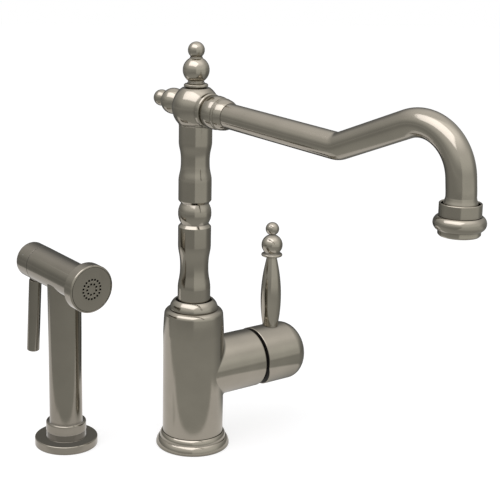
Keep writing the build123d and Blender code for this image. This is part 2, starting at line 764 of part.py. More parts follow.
# ------------------------------------------------------------------ spout
def spout_path():
    """Centre line of the spout tube: straight runs joined by tangent bends."""
    level = direction(spout_angle)

    def at(reach, height):
        return Vector(level.X * reach, level.Y * reach, height)

    droop = math.radians(spout_droop)
    start = boss_length - tube_engagement
    corners = [(start * math.cos(droop), hub_centre - start * math.sin(droop)), (bend_reach, bend_height),
               (crown_reach, crown_height), (spout_reach, cup_rim_height + plumb_length), (spout_reach, ring_top)]
    edges, here = [], corners[0]
    for before, corner, after, radius in zip(corners, corners[1:], corners[2:],
                                             (bend_radius, arch_radius, drop_radius)):
        ends = []
        legs = []
        for other in (before, after):
            dx, dz = other[0] - corner[0], other[1] - corner[1]
            size = math.hypot(dx, dz)
            legs.append((dx / size, dz / size))
        half = math.acos(legs[0][0] * legs[1][0] + legs[0][1] * legs[1][1]) / 2
        for leg in legs:
            ends.append((corner[0] + leg[0] * radius / math.tan(half), corner[1] + leg[1] * radius / math.tan(half)))
        bisector = (legs[0][0] + legs[1][0], legs[0][1] + legs[1][1])
        size = math.hypot(*bisector)
        inward = radius / math.sin(half) - radius
        middle = (corner[0] + bisector[0] / size * inward, corner[1] + bisector[1] / size * inward)
        edges.append(Edge.make_line(at(*here), at(*ends[0])))
        edges.append(Edge.make_three_point_arc(at(*ends[0]), at(*middle), at(*ends[1])))
        here = ends[1]
    edges.append(Edge.make_line(at(*here), at(*corners[-1])))
    return Wire(edges)


def spout_tube():
    path = spout_path()
    section = Plane(origin=path @ 0, z_dir=path % 0)
    outside = sweep(section * Circle(tube_radius), path=path)
    inside = sweep(section * Circle(tube_radius - tube_wall), path=path)
    # flared foot that seats in the outlet cup
    flare = outlet * turned((tube_radius - tube_wall, ring_top), (cup_radius - cup_wall - 0.9, ring_top),
                            (cup_radius - cup_wall - 0.9, cup_rim_height - 1.0),
                            ((tube_radius + 0.5, cup_rim_height + 1.4), (tube_radius - 0.1, cup_rim_height + 4.2)),
                            (tube_radius - tube_wall, cup_rim_height + 4.2))
    return outside + flare - inside


def spout_ferrule():
    low, high = boss_length, boss_length + ferrule_thickness
    bore = tube_radius + slip
    back = 2.0
    inner = boss_radius + slip
    return spout * turned((bore, low), (inner, low), (inner, low - back), (ferrule_radius - 0.5, low - back),
                          (ferrule_radius, low - back + 0.6), (ferrule_radius, high - 1.0),
                          (ferrule_radius - 0.6, high - 0.2), (ferrule_radius - 1.4, high), (bore, high))


def spout_collar():
    low = boss_length + ferrule_thickness
    end = low + spout_collar_length
    nose = end + spout_nose_length
    r = spout_collar_radius
    bore = tube_radius + slip
    return spout * turned((bore, low), (r - 1.4, low), (r - 1.0, low + 0.8),
                          ((r, low + spout_collar_length * 0.48), (r - 0.9, end - 0.6)),
                          (r - 1.5, end), (r - 1.5, end + 0.5), (r - 0.9, end + 0.9),
                          ((r - 1.25, end + 0.42 * spout_nose_length), (bore + 0.25, nose)), (bore, nose))


for make in (spout_tube, spout_ferrule, spout_collar):
    save(make(), make.__name__)


# ------------------------------------------------------------------ outlet and aerator
def outlet_cup():
    rim = cup_rim_height
    inner = cup_radius - cup_wall
    floor_bore = aerator_insert_radius + 0.4
    return outlet * turned((tube_radius - tube_wall, ring_top - 2.0), (floor_bore, ring_top - 2.0),
                           (floor_bore, aerator_top), (cup_radius - 0.2, aerator_top), (cup_radius - 0.2, ring_top),
                           (cup_radius, ring_top + 0.2), (cup_radius, rim - 0.6),
                           ((cup_radius - 0.2, rim - 0.2), (cup_radius - 0.6, rim)), (inner, rim - 0.6),
                           (inner, ring_top), (tube_radius - tube_wall, ring_top))


def outlet_ring():
    """Round moulding that slips over the cup from below and is held up by the aerator."""
    mid = aerator_top + ring_height * 0.46
    inner = cup_radius - 0.2 + slip
    low_radius = aerator_radius + 0.9
    return outlet * turned((inner, aerator_top), (low_radius, aerator_top),
                           ((ring_radius, mid), (cup_radius + 0.7, ring_top)), (inner, ring_top))


def aerator_housing():
    low, top = aerator_foot, aerator_top
    wall = aerator_insert_radius + slip
    thread = aerator_insert_radius + 0.4 - slip
    return outlet * turned((wall - 1.3, low), (aerator_radius - 0.9, low), (aerator_radius, low + 1.0),
                           (aerator_radius, top), (thread, top), (thread, top + 3.0), (wall, top + 3.0),
                           (wall, low + 1.2), (wall - 1.3, low + 1.2))


def aerator_insert():
    low = aerator_foot + 1.2
    top = aerator_top + 3.0
    body = rod(aerator_insert_radius, low, top) - rod(aerator_insert_radius - 1.0, low + 1.2, top + 1)
    # honeycomb face that the water leaves by
    hole = Pos(0, 0, low - 1) * extrude(RegularPolygon(0.95, 6), 4)
    for ring_index, count in ((1, 6), (2, 12), (3, 18)):
        for index in range(count):
            spot = direction(360 / count * index) * (2.55 * ring_index)
            body -= Pos(spot.X, spot.Y, 0) * hole
    return outlet * body


def aerator_washer():
    low = aerator_top + 3.0
    return outlet * tube(aerator_insert_radius, 7.6, low, ring_top - 2.0)


for make in (outlet_cup, outlet_ring, aerator_housing, aerator_insert, aerator_washer):
    save(make(), make.__name__)


# ------------------------------------------------------------------ hand spray holder
def spray_holder():
    shank = holder_shank_radius
    recess = holder_gasket_radius + slip
    spigot = holder_ring_radius - 1.25
    shape = turned((holder_bore_radius, -holder_shank_drop), (shank - 0.8, -holder_shank_drop),
                   (shank, -holder_shank_drop + 0.8), (shank, gasket_thickness), (recess, gasket_thickness),
                   (recess, 0), (holder_radius - 0.3, 0), (holder_radius, 0.3),
                   (holder_radius, holder_disc_height - 0.4), (holder_radius - 0.4, holder_disc_height),
                   (holder_neck_radius + 0.3, holder_disc_height), (holder_neck_radius, holder_disc_height + 0.3),
                   (holder_neck_radius, neck_top), (spigot, neck_top), (spigot, neck_top + 4.0),
                   (holder_mouth_radius + slip, neck_top + 4.0), (holder_mouth_radius + slip, bush_floor),
                   (holder_bore_radius, bush_floor))
    return spray * shape


def holder_ring():
    low, high = neck_top, neck_top + holder_ring_height
    spigot = holder_ring_radius - 1.25 + slip
    r = holder_ring_radius
    return spray * turned((spigot, low), (r - 0.3, low), (r, low + 0.3), (r, high - 1.6),
                          ((r - 0.35, high - 0.5), (r - 1.3, high)),
                          ((holder_mouth_radius + 0.3, high - 0.1), (holder_mouth_radius, high - 0.7)),
                          (holder_mouth_radius, low + 4.0 + slip), (spigot, low + 4.0 + slip))


def holder_bush():
    return spray * tube(holder_mouth_radius, holder_bore_radius, bush_floor, neck_top)


def holder_washer():
    top = -deck_thickness
    return spray * tube(holder_washer_radius, holder_shank_radius + play, top - washer_thickness, top)


def holder_nut():
    return spray * hex_nut(holder_nut_flats, holder_shank_radius + slip, -deck_thickness - washer_thickness,
                           nut_height)


def holder_gasket():
    return spray * tube(holder_gasket_radius, holder_shank_radius + play, 0, gasket_thickness)


for make in (spray_holder, holder_ring, holder_bush, holder_washer, holder_nut, holder_gasket):
    save(make(), make.__name__)


# ------------------------------------------------------------------ hand spray body
barrel_bore = barrel_radius - barrel_wall
inlet_top = stem_foot + 20.0
partition_front = -8.0
partition_back = -12.0


def sprayer_body():
    stem_top = head_height - 4.0
    stem = spray * turned((0, stem_foot), (stem_radius - 1.1, stem_foot), (stem_radius, stem_foot + 1.4),
                          (stem_radius, (stem_foot + stem_top) / 2), (stem_top_radius, stem_top), (0, stem_top))
    barrel = head * turned((0, -barrel_rear), (barrel_rear_radius - 0.25, -barrel_rear),
                           (barrel_rear_radius, -barrel_rear + 0.3), (barrel_radius, barrel_front),
                           (0, barrel_front))
    shape = stem + barrel
    shape -= head * rod(barrel_bore, partition_front, barrel_front + 1)
    shape -= head * rod(barrel_bore, -barrel_rear - 1, partition_back)
    shape -= head * rod(plunger_radius + slip, partition_back - 1, partition_front + 1)
    shape -= spray * rod(stem_bore_radius, stem_foot - 1, head_height)
    shape += head * tube(barrel_bore + 0.5, plunger_radius + slip, partition_back, partition_front)
    return shape


def hose_inlet():
    """Swivel tail in the stem's foot, with the hose's thread in its underside."""
    spigot = stem_bore_radius - slip
    nut_top = stem_foot - 0.4
    nut_low = nut_top - 14.0
    shape = turned((3.4, nut_top), (spigot, nut_top), (spigot, inlet_top - 9), (spigot - 1.7, inlet_top - 9),
                   (spigot - 1.7, inlet_top - 6.2), (spigot, inlet_top - 6.2), (spigot, inlet_top),
                   (3.4, inlet_top))
    nut = hexagon(inlet_nut_flats, nut_low, nut_top) - rod(inlet_port_radius, nut_low - 1, nut_top - 3)
    nut -= rod(3.4, nut_low, nut_top + 1)
    return spray * (shape + nut)


def inlet_seal():
    spigot = stem_bore_radius - slip
    return spray * ring_seal(spigot - 0.83, 0.83, inlet_top - 7.6)


for make in (sprayer_body, hose_inlet, inlet_seal):
    save(make(), make.__name__)


# ------------------------------------------------------------------ rear cap and squeeze lever
def lever_line():
    """Frame of the squeeze lever: origin on its pin, +Z up the rod, +X away from the stem."""
    pin = head * Pos(squeeze_pivot_rise, 0, -squeeze_pivot_set)
    return pin * Rot(0, 90, 0) * Rot(0, head_droop - squeeze_splay, 0)


def rear_cap():
    r = barrel_rear_radius
    cap = turned((0, -cap_rear), (r - 2.2, -cap_rear), ((r - 0.6, -cap_rear + 0.6), (r, -cap_rear + 2.2)),
                 (r, -barrel_rear - 0.3), (r - 0.25, -barrel_rear), (barrel_bore, -barrel_rear),
                 (barrel_bore, -cap_rear + 2.0), (0, -cap_rear + 2.0))
    # slot underneath that the lever's tang swings in, open towards the barrel
    wide = tang_width + 2 * play
    slot = Pos(-barrel_rear_radius / 2 - 3, 0, -cap_rear + 1.1) * Box(
        barrel_rear_radius, wide, cap_length, align=(Align.CENTER, Align.CENTER, Align.MIN))
    cap -= slot
    cap -= Pos(squeeze_pivot_rise, 0, -squeeze_pivot_set) * Rot(90, 0, 0) * Cylinder(squeeze_pin_radius, 40)
    return head * cap


def lever_pin():
    half = math.sqrt(barrel_rear_radius**2 - squeeze_pivot_rise**2) - 0.5
    return head * Pos(squeeze_pivot_rise, 0, -squeeze_pivot_set) * Rot(90, 0, 0) * Cylinder(
        squeeze_pin_radius, 2 * half)


for make in (rear_cap, lever_pin):
    save(make(), make.__name__)


def squeeze_lever():
    r = squeeze_radius
    low, high = -squeeze_length, -squeeze_shoulder
    bar = turned((0, low), (r - 0.5, low), (r, low + 0.5), (r, high - 0.6), (r - 0.6, high), (0, high))
    # flat tang with a round eye on the pin
    eye = tang_depth / 2
    side = Pos(0, high / 2 - 0.25) * Rectangle(tang_depth, -high + 0.5) + Circle(eye)
    bar += extrude(Plane.XZ * side, tang_width / 2, both=True)
    bar -= Rot(90, 0, 0) * Cylinder(squeeze_pin_radius + slip, 40)
    return lever_line() * bar


save(squeeze_lever(), "squeeze_lever")


# ------------------------------------------------------------------ spray valve
disc_front = seat_start + seat_length + 3.2
web_back = barrel_front - 1.5


def valve_seat():
    end = seat_start + seat_length
    return head * turned((4.0, seat_start), (barrel_bore - slip, seat_start), (barrel_bore - slip, end),
                         (5.0, end), (4.0, end - 0.8))


def valve_washer():
    low = seat_start + seat_length
    return head * tube(valve_disc_radius, plunger_radius + 0.02, low, low + 1.4)


def valve_plunger():
    low = seat_start + seat_length + 1.4
    tip = -squeeze_pivot_set + tang_depth / 2 + 0.2
    drop = squeeze_pivot_rise * math.tan(math.radians(squeeze_splay - head_droop))
    start = tip - drop + 0.15
    return head * turned((0, start), ((plunger_radius * 0.72, start + 0.5), (plunger_radius, start + 1.8)),
                         (plunger_radius, low), (valve_disc_radius, low), (valve_disc_radius, disc_front),
                         (2.4, disc_front), (2.4, disc_front + 1.4), (0, disc_front + 1.4))


def valve_spring():
    """Closing spring: one unbroken coil between the plunger's disc and the collar's web."""
    low = disc_front + spring_wire + 0.05
    high = web_back - spring_wire - 0.05
    coil = Edge.make_helix((high - low) / spring_turns, high - low, spring_mean_radius, center=(0, 0, low))
    section = Plane(origin=coil @ 0, z_dir=coil % 0) * Circle(spring_wire)
    return head * sweep(section, path=Wire([coil]), is_frenet=True)


print("least gap between curls", round((web_back - disc_front - 2 * spring_wire - 0.1) / spring_turns - 2 * spring_wire, 3))


def spray_collar():
    r, w = spray_collar_radius, spray_wall
    spigot = barrel_bore - slip
    back = barrel_front - collar_spigot_length
    shape = turned((spigot - 2.2, back), (spigot, back), (spigot, barrel_front), (r - 0.5, barrel_front),
                   (r, barrel_front + 0.5), (r, head_front - 0.9), (r - 0.35, head_front - 0.25),
                   (r - w + 0.1, head_front), (r - w, head_front - 0.1), (r - w, barrel_front + 1.6),
                   (spigot - 2.2, barrel_front + 1.6))
    # web that the spring bears on, with flow holes round it
    web = rod(spigot - 1.0, web_back, barrel_front)
    for index in range(6):
        spot = direction(60 * index) * 6.4
        web -= Pos(spot.X, spot.Y, 0) * rod(1.5, web_back - 1, barrel_front + 1)
    return head * (shape + web)


def spray_face():
    plate = rod(spray_collar_radius - spray_wall - slip, head_front - spray_face_thickness, head_front)
    hole = rod(spray_hole_radius, head_front - spray_face_thickness - 1, head_front + 1)
    for count, radius, turn in ((outer_holes, outer_hole_ring, 0), (inner_holes, inner_hole_ring, 10)):
        for index in range(count):
            spot = direction(360 / count * index + turn) * radius
            plate -= Pos(spot.X, spot.Y, 0) * hole
    return head * plate


for make in (valve_seat, valve_washer, valve_plunger, valve_spring, spray_collar, spray_face):
    save(make(), make.__name__)
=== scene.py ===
# Side spray kitchen faucet in satin nickel, on a pale ground.
# Metres, +Z up, the user at -Y; the origin is where the faucet's axis meets the deck.
# The sizes of its pieces are in millimetres, as in the part's source.
import json
import math

import bmesh
import bpy
import numpy as np
from mathutils import Matrix, Vector
from mathutils.geometry import tessellate_polygon

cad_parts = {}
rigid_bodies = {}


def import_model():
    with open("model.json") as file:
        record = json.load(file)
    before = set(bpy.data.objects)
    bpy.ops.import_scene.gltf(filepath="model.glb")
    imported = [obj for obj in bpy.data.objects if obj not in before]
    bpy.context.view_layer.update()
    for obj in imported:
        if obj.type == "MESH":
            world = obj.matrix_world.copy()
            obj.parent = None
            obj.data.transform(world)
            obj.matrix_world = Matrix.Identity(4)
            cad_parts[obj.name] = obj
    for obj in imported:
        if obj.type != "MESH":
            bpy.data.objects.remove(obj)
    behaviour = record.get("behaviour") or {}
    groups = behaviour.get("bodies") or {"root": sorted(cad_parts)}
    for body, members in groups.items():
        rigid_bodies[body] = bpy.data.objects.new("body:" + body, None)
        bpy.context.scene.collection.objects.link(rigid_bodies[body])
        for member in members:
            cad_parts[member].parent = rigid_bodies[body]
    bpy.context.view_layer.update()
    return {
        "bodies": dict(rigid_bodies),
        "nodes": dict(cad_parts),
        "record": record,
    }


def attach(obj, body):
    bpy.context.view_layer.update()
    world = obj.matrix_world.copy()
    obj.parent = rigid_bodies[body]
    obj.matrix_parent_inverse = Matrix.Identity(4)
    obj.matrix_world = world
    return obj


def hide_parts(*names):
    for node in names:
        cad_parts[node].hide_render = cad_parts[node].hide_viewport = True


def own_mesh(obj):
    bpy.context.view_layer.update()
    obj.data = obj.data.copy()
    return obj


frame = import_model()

scene = bpy.context.scene
scene.view_settings.view_transform = "Standard"

# ---- Viewpoint
# A camera nearly level with the spout and a little to the left of the faucet, as the
# photographer stood. It looks slightly down, and its film is shifted to frame the set.
film_width = 36                                 # mm
focal_length, photo_width = 1220.9, 500         # pixels of the photo
eye = Vector((-0.03536, -0.91924, 0.41043))
pitch, yaw, roll = math.radians(12.441), math.radians(1.508), math.radians(0.429)
lens_data = bpy.data.cameras.new("studio_camera")
lens_data.sensor_width = film_width
lens_data.lens = focal_length / photo_width * film_width
lens_data.shift_x, lens_data.shift_y = 0.139, -0.118
camera = bpy.data.objects.new("studio_camera", lens_data)
scene.collection.objects.link(camera)
ahead = Vector((math.sin(yaw) * math.cos(pitch), math.cos(yaw) * math.cos(pitch),
                -math.sin(pitch)))
level_right = Vector((math.cos(yaw), -math.sin(yaw), 0))
level_up = level_right.cross(ahead)
right = level_right * math.cos(roll) + level_up * math.sin(roll)
up = level_up * math.cos(roll) - level_right * math.sin(roll)
turned_to_view = Matrix((right, up, -ahead)).transposed().to_4x4()
camera.matrix_world = Matrix.Translation(eye) @ turned_to_view
scene.camera = camera


# ---- Studio
# White surroundings that the camera sees, a plain level of light on everything and a soft
# box above. Table and tent show only in the nickel, as its dark bands, rims and highlights.
class Value:
    """A socket in a shader; Python's operators on it add Math nodes."""

    def __init__(self, nodes, socket):
        self.nodes = nodes
        self.socket = socket

    def maths(self, operation, *others):
        return self.nodes.maths(operation, self, *others)

    def __add__(self, other):
        return self.maths("ADD", other)

    def __sub__(self, other):
        return self.maths("SUBTRACT", other)

    def __rsub__(self, other):
        return self.nodes.maths("SUBTRACT", other, self)

    def __mul__(self, other):
        return self.maths("MULTIPLY", other)

    def __truediv__(self, other):
        return self.maths("DIVIDE", other)

    def __pow__(self, other):
        return self.maths("POWER", other)

    __radd__ = __add__
    __rmul__ = __mul__


class Nodes:
    """The node tree of a material or world, emptied and written anew."""

    def __init__(self, owner):
        owner.use_nodes = True
        self.tree = owner.node_tree
        self.tree.nodes.clear()

    def feed(self, socket, item):
        if isinstance(item, Value):
            self.tree.links.new(item.socket, socket)
        elif isinstance(item, (tuple, list)) and len(item) == 3 and socket.type == "RGBA":
            socket.default_value = (*item, 1)
        else:
            socket.default_value = item

    def add(self, kind, settings=None, out=0, **inputs):
        """A node of the kind: settings first, then sockets by name or, as in "0", by place."""
        node = self.tree.nodes.new("ShaderNode" + kind)
        for name, setting in (settings or {}).items():
            if name == "stops":
                stops = node.color_ramp.elements
                while len(stops) < len(setting):
                    stops.new(0.5)
                for stop, (place, colour) in zip(stops, setting):
                    stop.position, stop.color = place, (*colour, 1)
            else:
                setattr(node, name, setting)
        for name, item in inputs.items():
            name = name.replace("_", " ")
            self.feed(node.inputs[int(name) if name.isdigit() else name], item)
        return Value(self, node.outputs[out]) if node.outputs else None

    def maths(self, operation, *items):
        inputs = {str(place): item for place, item in enumerate(items)}
        return self.add("Math", {"operation": operation}, **inputs)


def ramp(value, low, high):
    """0 at the low end to 1 at the high end, eased at both."""
    return value.nodes.add("MapRange", {"interpolation_type": "SMOOTHSTEP"}, Value=value,
                           From_Min=low, From_Max=high, To_Min=0.0, To_Max=1.0)


def blend(n, share, colour, other):
    """The colour where the share is 0, the other where it is 1."""
    return n.add("Mix", {"data_type": "RGBA"}, out=2, **{"0": share, "6": colour, "7": other})


def seen_directly(n):
    """1 where the camera sees the surface, also in a mirror or through glass."""
    camera_ray, glossy_ray, clear_ray = (n.add("LightPath", out=f"Is {kind} Ray")
                                         for kind in ("Camera", "Glossy", "Transmission"))
    return camera_ray.maths("MAXIMUM", glossy_ray).maths("MAXIMUM", clear_ray)


plain_light = 0.68
world = bpy.data.worlds.new("studio")
scene.world = world
n = Nodes(world)
n.add("OutputWorld", Surface=n.add(
    "Background", Color=(1, 1, 1), Strength=plain_light + (1 - plain_light) * seen_directly(n)))


def studio_sheet(name, points, faces=((0, 1, 2, 3),), only_mirrored=False):
    """A surface of the studio; returns the nodes of its material."""
    mesh = bpy.data.meshes.new(name)
    mesh.from_pydata(points, [], faces)
    mesh.materials.append(bpy.data.materials.new(name))
    sheet = bpy.data.objects.new(name, mesh)
    scene.collection.objects.link(sheet)
    if only_mirrored:
        sheet.visible_camera = sheet.visible_diffuse = False
        sheet.visible_shadow = sheet.visible_transmission = False
    return Nodes(mesh.materials[0])


def square(half, height):
    return [(-half, -half, height), (half, -half, height), (half, half, height),
            (-half, half, height)]


floor_half, floor_glow = 4, 0.67
n = studio_sheet("studio_floor", square(floor_half, 0))
matt = n.add("BsdfDiffuse", Color=(0.5, 0.5, 0.5))
glow = n.add("Emission", Color=(1, 1, 1), Strength=floor_glow * seen_directly(n))
n.add("OutputMaterial", Surface=n.add("AddShader", **{"0": matt, "1": glow}))

# the table that the nickel sees, just over the floor and out to the tent's foot
tent_radius, table_height = 3.4, 0.0002
spray_away = 0.1016                             # from the faucet's axis to the hand spray's
n = studio_sheet("table_top", square(tent_radius, table_height), only_mirrored=True)
spot = n.add("TexCoord", out="Object")
x, y = (n.add("SeparateXYZ", out=axis, Vector=spot) for axis in "XY")
away = (x * x + y * y) ** 0.5
front = (0 - y) / away                          # 1 straight in front, -1 straight behind
left = ramp(x, 0.05, -0.05)
# bare, it is grey, paler close by and far out, and darker behind than in front
bare = 0.31 + 0.21 * ramp(away, 1.0, 0.05) + 0.11 * ramp(away, 1.3, 2.8)
bare = bare * (0.52 + 0.48 * ramp(front + 0.3 * left, -0.70, 0.40))
bare = bare * (0.40 + 0.60 * ramp(front, -0.97, -0.72))
# a pale panel begins straight in front of the faucet and goes off to the right
panel_side = x - 0.038 * y
panel = ramp(panel_side, -0.004, 0.004) * ramp(front, -0.15, 0.25)
bare = bare + 0.36 * panel * ramp(away, 0.38, 0.85) + 0.08 * (1 - panel) * ramp(away, 0.5, 1.1)
# a white sheet lies under both feet, cut at a slant on the left
slant = y + 0.80 * (x + 0.160).maths("MINIMUM", 0.0)
paper = ramp(x, -0.46, -0.38) * ramp(x, 0.165, 0.145) * ramp(slant, -0.066, -0.058)
paper = paper * ramp(y - 0.20 * left, 0.09, 0.01)
# the faucet's foot shades it all round, the hand spray's foot only on its front side
paper = paper * (0.30 + 0.70 * ramp(away, 0.027, 0.055))
from_spray = x + spray_away
gap = (from_spray * from_spray + y * y) ** 0.5
paper = paper * (1 - 0.4 * ramp(gap, 0.050, 0.040) * ramp(y, -0.021, -0.028))
paper_level = 0.88
hue = blend(n, paper, (1, 0.995, 0.943), (1, 0.968, 0.95))
n.add("OutputMaterial", Surface=n.add(
    "Emission", Color=hue, Strength=bare + paper * (paper_level - bare)))


def band(one, two):
    """The faces between two rings of points; a corner that comes twice is left out."""
    faces = []
    for k in range(len(one)):
        after = (k + 1) % len(one)
        corners = list(dict.fromkeys((one[k], one[after], two[after], two[k])))
        if len(corners) > 2:
            faces.append(corners)
    return faces


# a round tent over the set, grey at the horizon, pale overhead and lighter on the right
rings, turns = 14, 48
tent_points = [(tent_radius * math.cos(lift) * math.sin(bearing),
                -tent_radius * math.cos(lift) * math.cos(bearing), tent_radius * math.sin(lift))
               for lift in (math.pi / 2 * k / rings for k in range(rings))
               for bearing in (2 * math.pi * j / turns for j in range(turns))]
tent_points.append((0, 0, tent_radius))
tent_rings = [range(turns * k, turns * (k + 1)) for k in range(rings)] + [[turns * rings] * turns]
tent_faces = [face for one, two in zip(tent_rings, tent_rings[1:]) for face in band(one, two)]
n = studio_sheet("light_tent", tent_points, tent_faces, only_mirrored=True)
spot = n.add("TexCoord", out="Object")
x, y, z = (n.add("SeparateXYZ", out=axis, Vector=spot) for axis in "XYZ")
height = z / tent_radius
front = (0 - y) / (x * x + y * y) ** 0.5
tone = 0.47 + 0.50 * ramp(height, 0.05, 0.58) + 0.75 * ramp(height, 0.52, 0.95)
panel_side = x - 0.038 * y
panel = ramp(panel_side, -0.02, 0.02) * ramp(front, -0.20, 0.30) * ramp(height, 0.60, 0.20)
tone = (tone + 0.26 * panel) * (0.66 + 0.34 * ramp(front, -0.70, 0.50))
tone = tone * (1 - 0.60 * ramp(front, -0.72, -0.97) * ramp(height, 0.75, 0.35))
hue = blend(n, ramp(height, 0.2, 0.8), (1, 0.995, 0.948), (1, 0.972, 0.95))
n.add("OutputMaterial", Surface=n.add("Emission", Color=hue, Strength=tone))

box_data = bpy.data.lights.new("soft_box", "AREA")
box_data.shape = "RECTANGLE"
box_data.size, box_data.size_y = 1.75, 0.95
box_data.energy = 7.0
box_data.color = (0.97, 0.935, 1.0)
soft_box = bpy.data.objects.new("soft_box", box_data)
scene.collection.objects.link(soft_box)
soft_box.location = (-0.46, -0.50, 1.34)
lit_spot = Vector((0, 0, 0.15))
soft_box.rotation_euler = (lit_spot - soft_box.location).to_track_quat("-Z", "Y").to_euler()


# ---- Base ring
# A turned brass ring with a full lower bead and a smaller upper one, nickel plated.
# It stands on the deck's gasket and carries the body.
def satin_nickel(name, axis=(0, 0, 1), origin=(0, 0, 0), painted_light=1.0, drilled_below=None):
    """Brushed nickel plate under lacquer, its grain running round the axis of turning.

    The warm grey hardly varies and edges are rubbed a little brighter. Crevices get painted shade
    from an ambient-occlusion mask, a factor on the colour makes lighter and darker copies as
    painted light for single pieces, and drilled holes get painted shade.
    """
    # painted light: this factor on the colour makes lighter and darker copies of the nickel for
    # single pieces
    dark = tuple(painted_light * part for part in (0.333, 0.311, 0.265))
    pale = tuple(painted_light * part for part in (0.373, 0.348, 0.297))
    rubbed, crevice_shade, hole_shade = (0.46, 0.43, 0.375), (0.08, 0.07, 0.055), (0.006, 0.005, 0.004)
    paint = bpy.data.materials.new(name)
    n = Nodes(paint)
    turn = Vector((0, 0, 1)).rotation_difference(Vector(axis).normalized()).to_euler()
    spot = n.add("Mapping", {"vector_type": "TEXTURE"}, Vector=n.add("TexCoord", out="Object"),
                 Location=Vector(origin) / 1000, Rotation=turn)
    grain = n.add("Mapping", Vector=spot, Scale=(70, 70, 7000))
    lines = n.add("TexNoise", Vector=grain, Scale=1.0, Detail=3.0, Roughness=0.6)
    cloud = n.add("TexNoise", Vector=spot, Scale=45.0, Detail=4.0, Roughness=0.55)
    speck = n.add("TexNoise", Vector=spot, Scale=2600.0, Detail=2.0, Roughness=0.5)
    edge = n.add("ValToRGB", {"stops": [(0.52, (0, 0, 0)), (0.64, (1, 1, 1))]},
                 Fac=n.add("NewGeometry", out="Pointiness"))
    colour = n.add("ValToRGB", {"stops": [(0.25, dark), (0.75, pale)]}, Fac=cloud)
    colour = blend(n, edge * 0.35, colour, rubbed)
    # painted shade: an ambient-occlusion mask darkens crevices and the joints between pieces
    open_air = n.add("AmbientOcclusion", {"samples": 8}, out="AO", Distance=0.002)
    colour = blend(n, (1 - open_air) * 0.85, colour, crevice_shade)
    rough = 0.105 + 0.05 * (lines - 0.5) + 0.04 * (cloud - 0.5) - 0.02 * edge
    if drilled_below is not None:
        # painted shade: below the plate's front the holes are coloured near black and made rougher,
        # for the shade inside them
        top = drilled_below / 1000
        bare = ramp(n.add("SeparateXYZ", out="Z", Vector=spot), top - 0.00002, top - 0.00012)
        colour = blend(n, bare, colour, hole_shade)
        rough = rough + 0.4 * bare
    bump = n.add("Bump", Strength=0.10, Distance=0.0002, Height=lines * 0.6 + speck * 0.25)
    n.add("OutputMaterial", Surface=n.add(
        "BsdfPrincipled", Base_Color=colour, Metallic=1.0, Roughness=rough, Normal=bump))
    return paint


def smooth_run(marks):
    """A natural cubic spline through the marks, as its points after the first."""
    steps = 10
    marks = np.array(marks, float)
    gaps = np.linalg.norm(np.diff(marks, axis=0), axis=1)
    system, wanted = np.eye(len(marks)), np.zeros((len(marks), 2))
    for k in range(1, len(marks) - 1):
        system[k, k - 1:k + 2] = gaps[k - 1], 2 * (gaps[k - 1] + gaps[k]), gaps[k]
        wanted[k] = 6 * ((marks[k + 1] - marks[k]) / gaps[k]
                         - (marks[k] - marks[k - 1]) / gaps[k - 1])
    bend = np.linalg.solve(system, wanted)
    run = []
    for k, gap in enumerate(gaps):
        for b in np.linspace(0, 1, steps + 1)[1:]:
            a = 1 - b
            straight = a * marks[k] + b * marks[k + 1]
            sag = ((a**3 - a) * bend[k] + (b**3 - b) * bend[k + 1]) * gap * gap / 6
            run.append(tuple(straight + sag))
    return run


def arc_run(start, through, end, count=12):
    """The arc's points after its start; so many of them as the count go to 1.2 radians."""
    (ax, ay), (bx, by), (cx, cy) = start, through, end
    d = 2 * (ax * (by - cy) + bx * (cy - ay) + cx * (ay - by))
    if abs(d) < 1e-9:
        return [end]
    aa, bb, cc = ax**2 + ay**2, bx**2 + by**2, cx**2 + cy**2
    ux = (aa * (by - cy) + bb * (cy - ay) + cc * (ay - by)) / d
    uy = (aa * (cx - bx) + bb * (ax - cx) + cc * (bx - ax)) / d
    first, middle, last = (math.atan2(y - uy, x - ux) for x, y in (start, through, end))
    radius = math.hypot(ax - ux, ay - uy)
    sweep = (last - first) % (2 * math.pi)
    if (middle - first) % (2 * math.pi) > sweep:
        sweep -= 2 * math.pi
    steps = max(3, int(count * abs(sweep) / 1.2))
    angles = (first + sweep * k / steps for k in range(1, steps))
    return [(ux + radius * math.cos(a), uy + radius * math.sin(a)) for a in angles] + [end]


def outline(start, *steps):
    """A profile of (radius, height) points.

    A step is a point, an arc as (through, end), a smooth run as [points], or ("dome", top).
    """
    points = [start]
    for step in steps:
        radius, height = here = points[-1]
        if isinstance(step, list):
            points += smooth_run([here] + step)
        elif isinstance(step[0], tuple):
            points += arc_run(here, *step)
        elif step[0] == "dome":
            angles = (math.pi / 2 * k / 18 for k in range(1, 18))
            points += [(radius * math.cos(a), height + (step[1] - height) * math.sin(a))
                       for a in angles] + [(0, step[1])]
        else:
            points.append(step)
    return points


def eased(points, size, closed=True):
    """The same profile with its sharp corners rounded off by about the given size."""
    nearly_straight = math.radians(155)
    out = []
    for k in range(len(points)):
        if not closed and k in (0, len(points) - 1):
            out.append(points[k])
            continue
        before, here, after = (np.array(points[(k + j) % len(points)]) for j in (-1, 0, 1))
        back, on = before - here, after - here
        a, b = np.linalg.norm(back), np.linalg.norm(on)
        if a < 1e-6 or b < 1e-6:
            continue
        turn = math.acos(max(-1, min(1, float(np.dot(back, on) / (a * b)))))
        if turn > nearly_straight or here[0] < 1e-6 or size == 0:
            out.append(tuple(here))
            continue
        cut = min(size, 0.45 * a, 0.45 * b)
        first, last = here + back / a * cut, here + on / b * cut
        out += [tuple((1 - t)**2 * first + 2 * t * (1 - t) * here + t * t * last)
                for t in (0, 0.25, 0.5, 0.75, 1)]
    return out


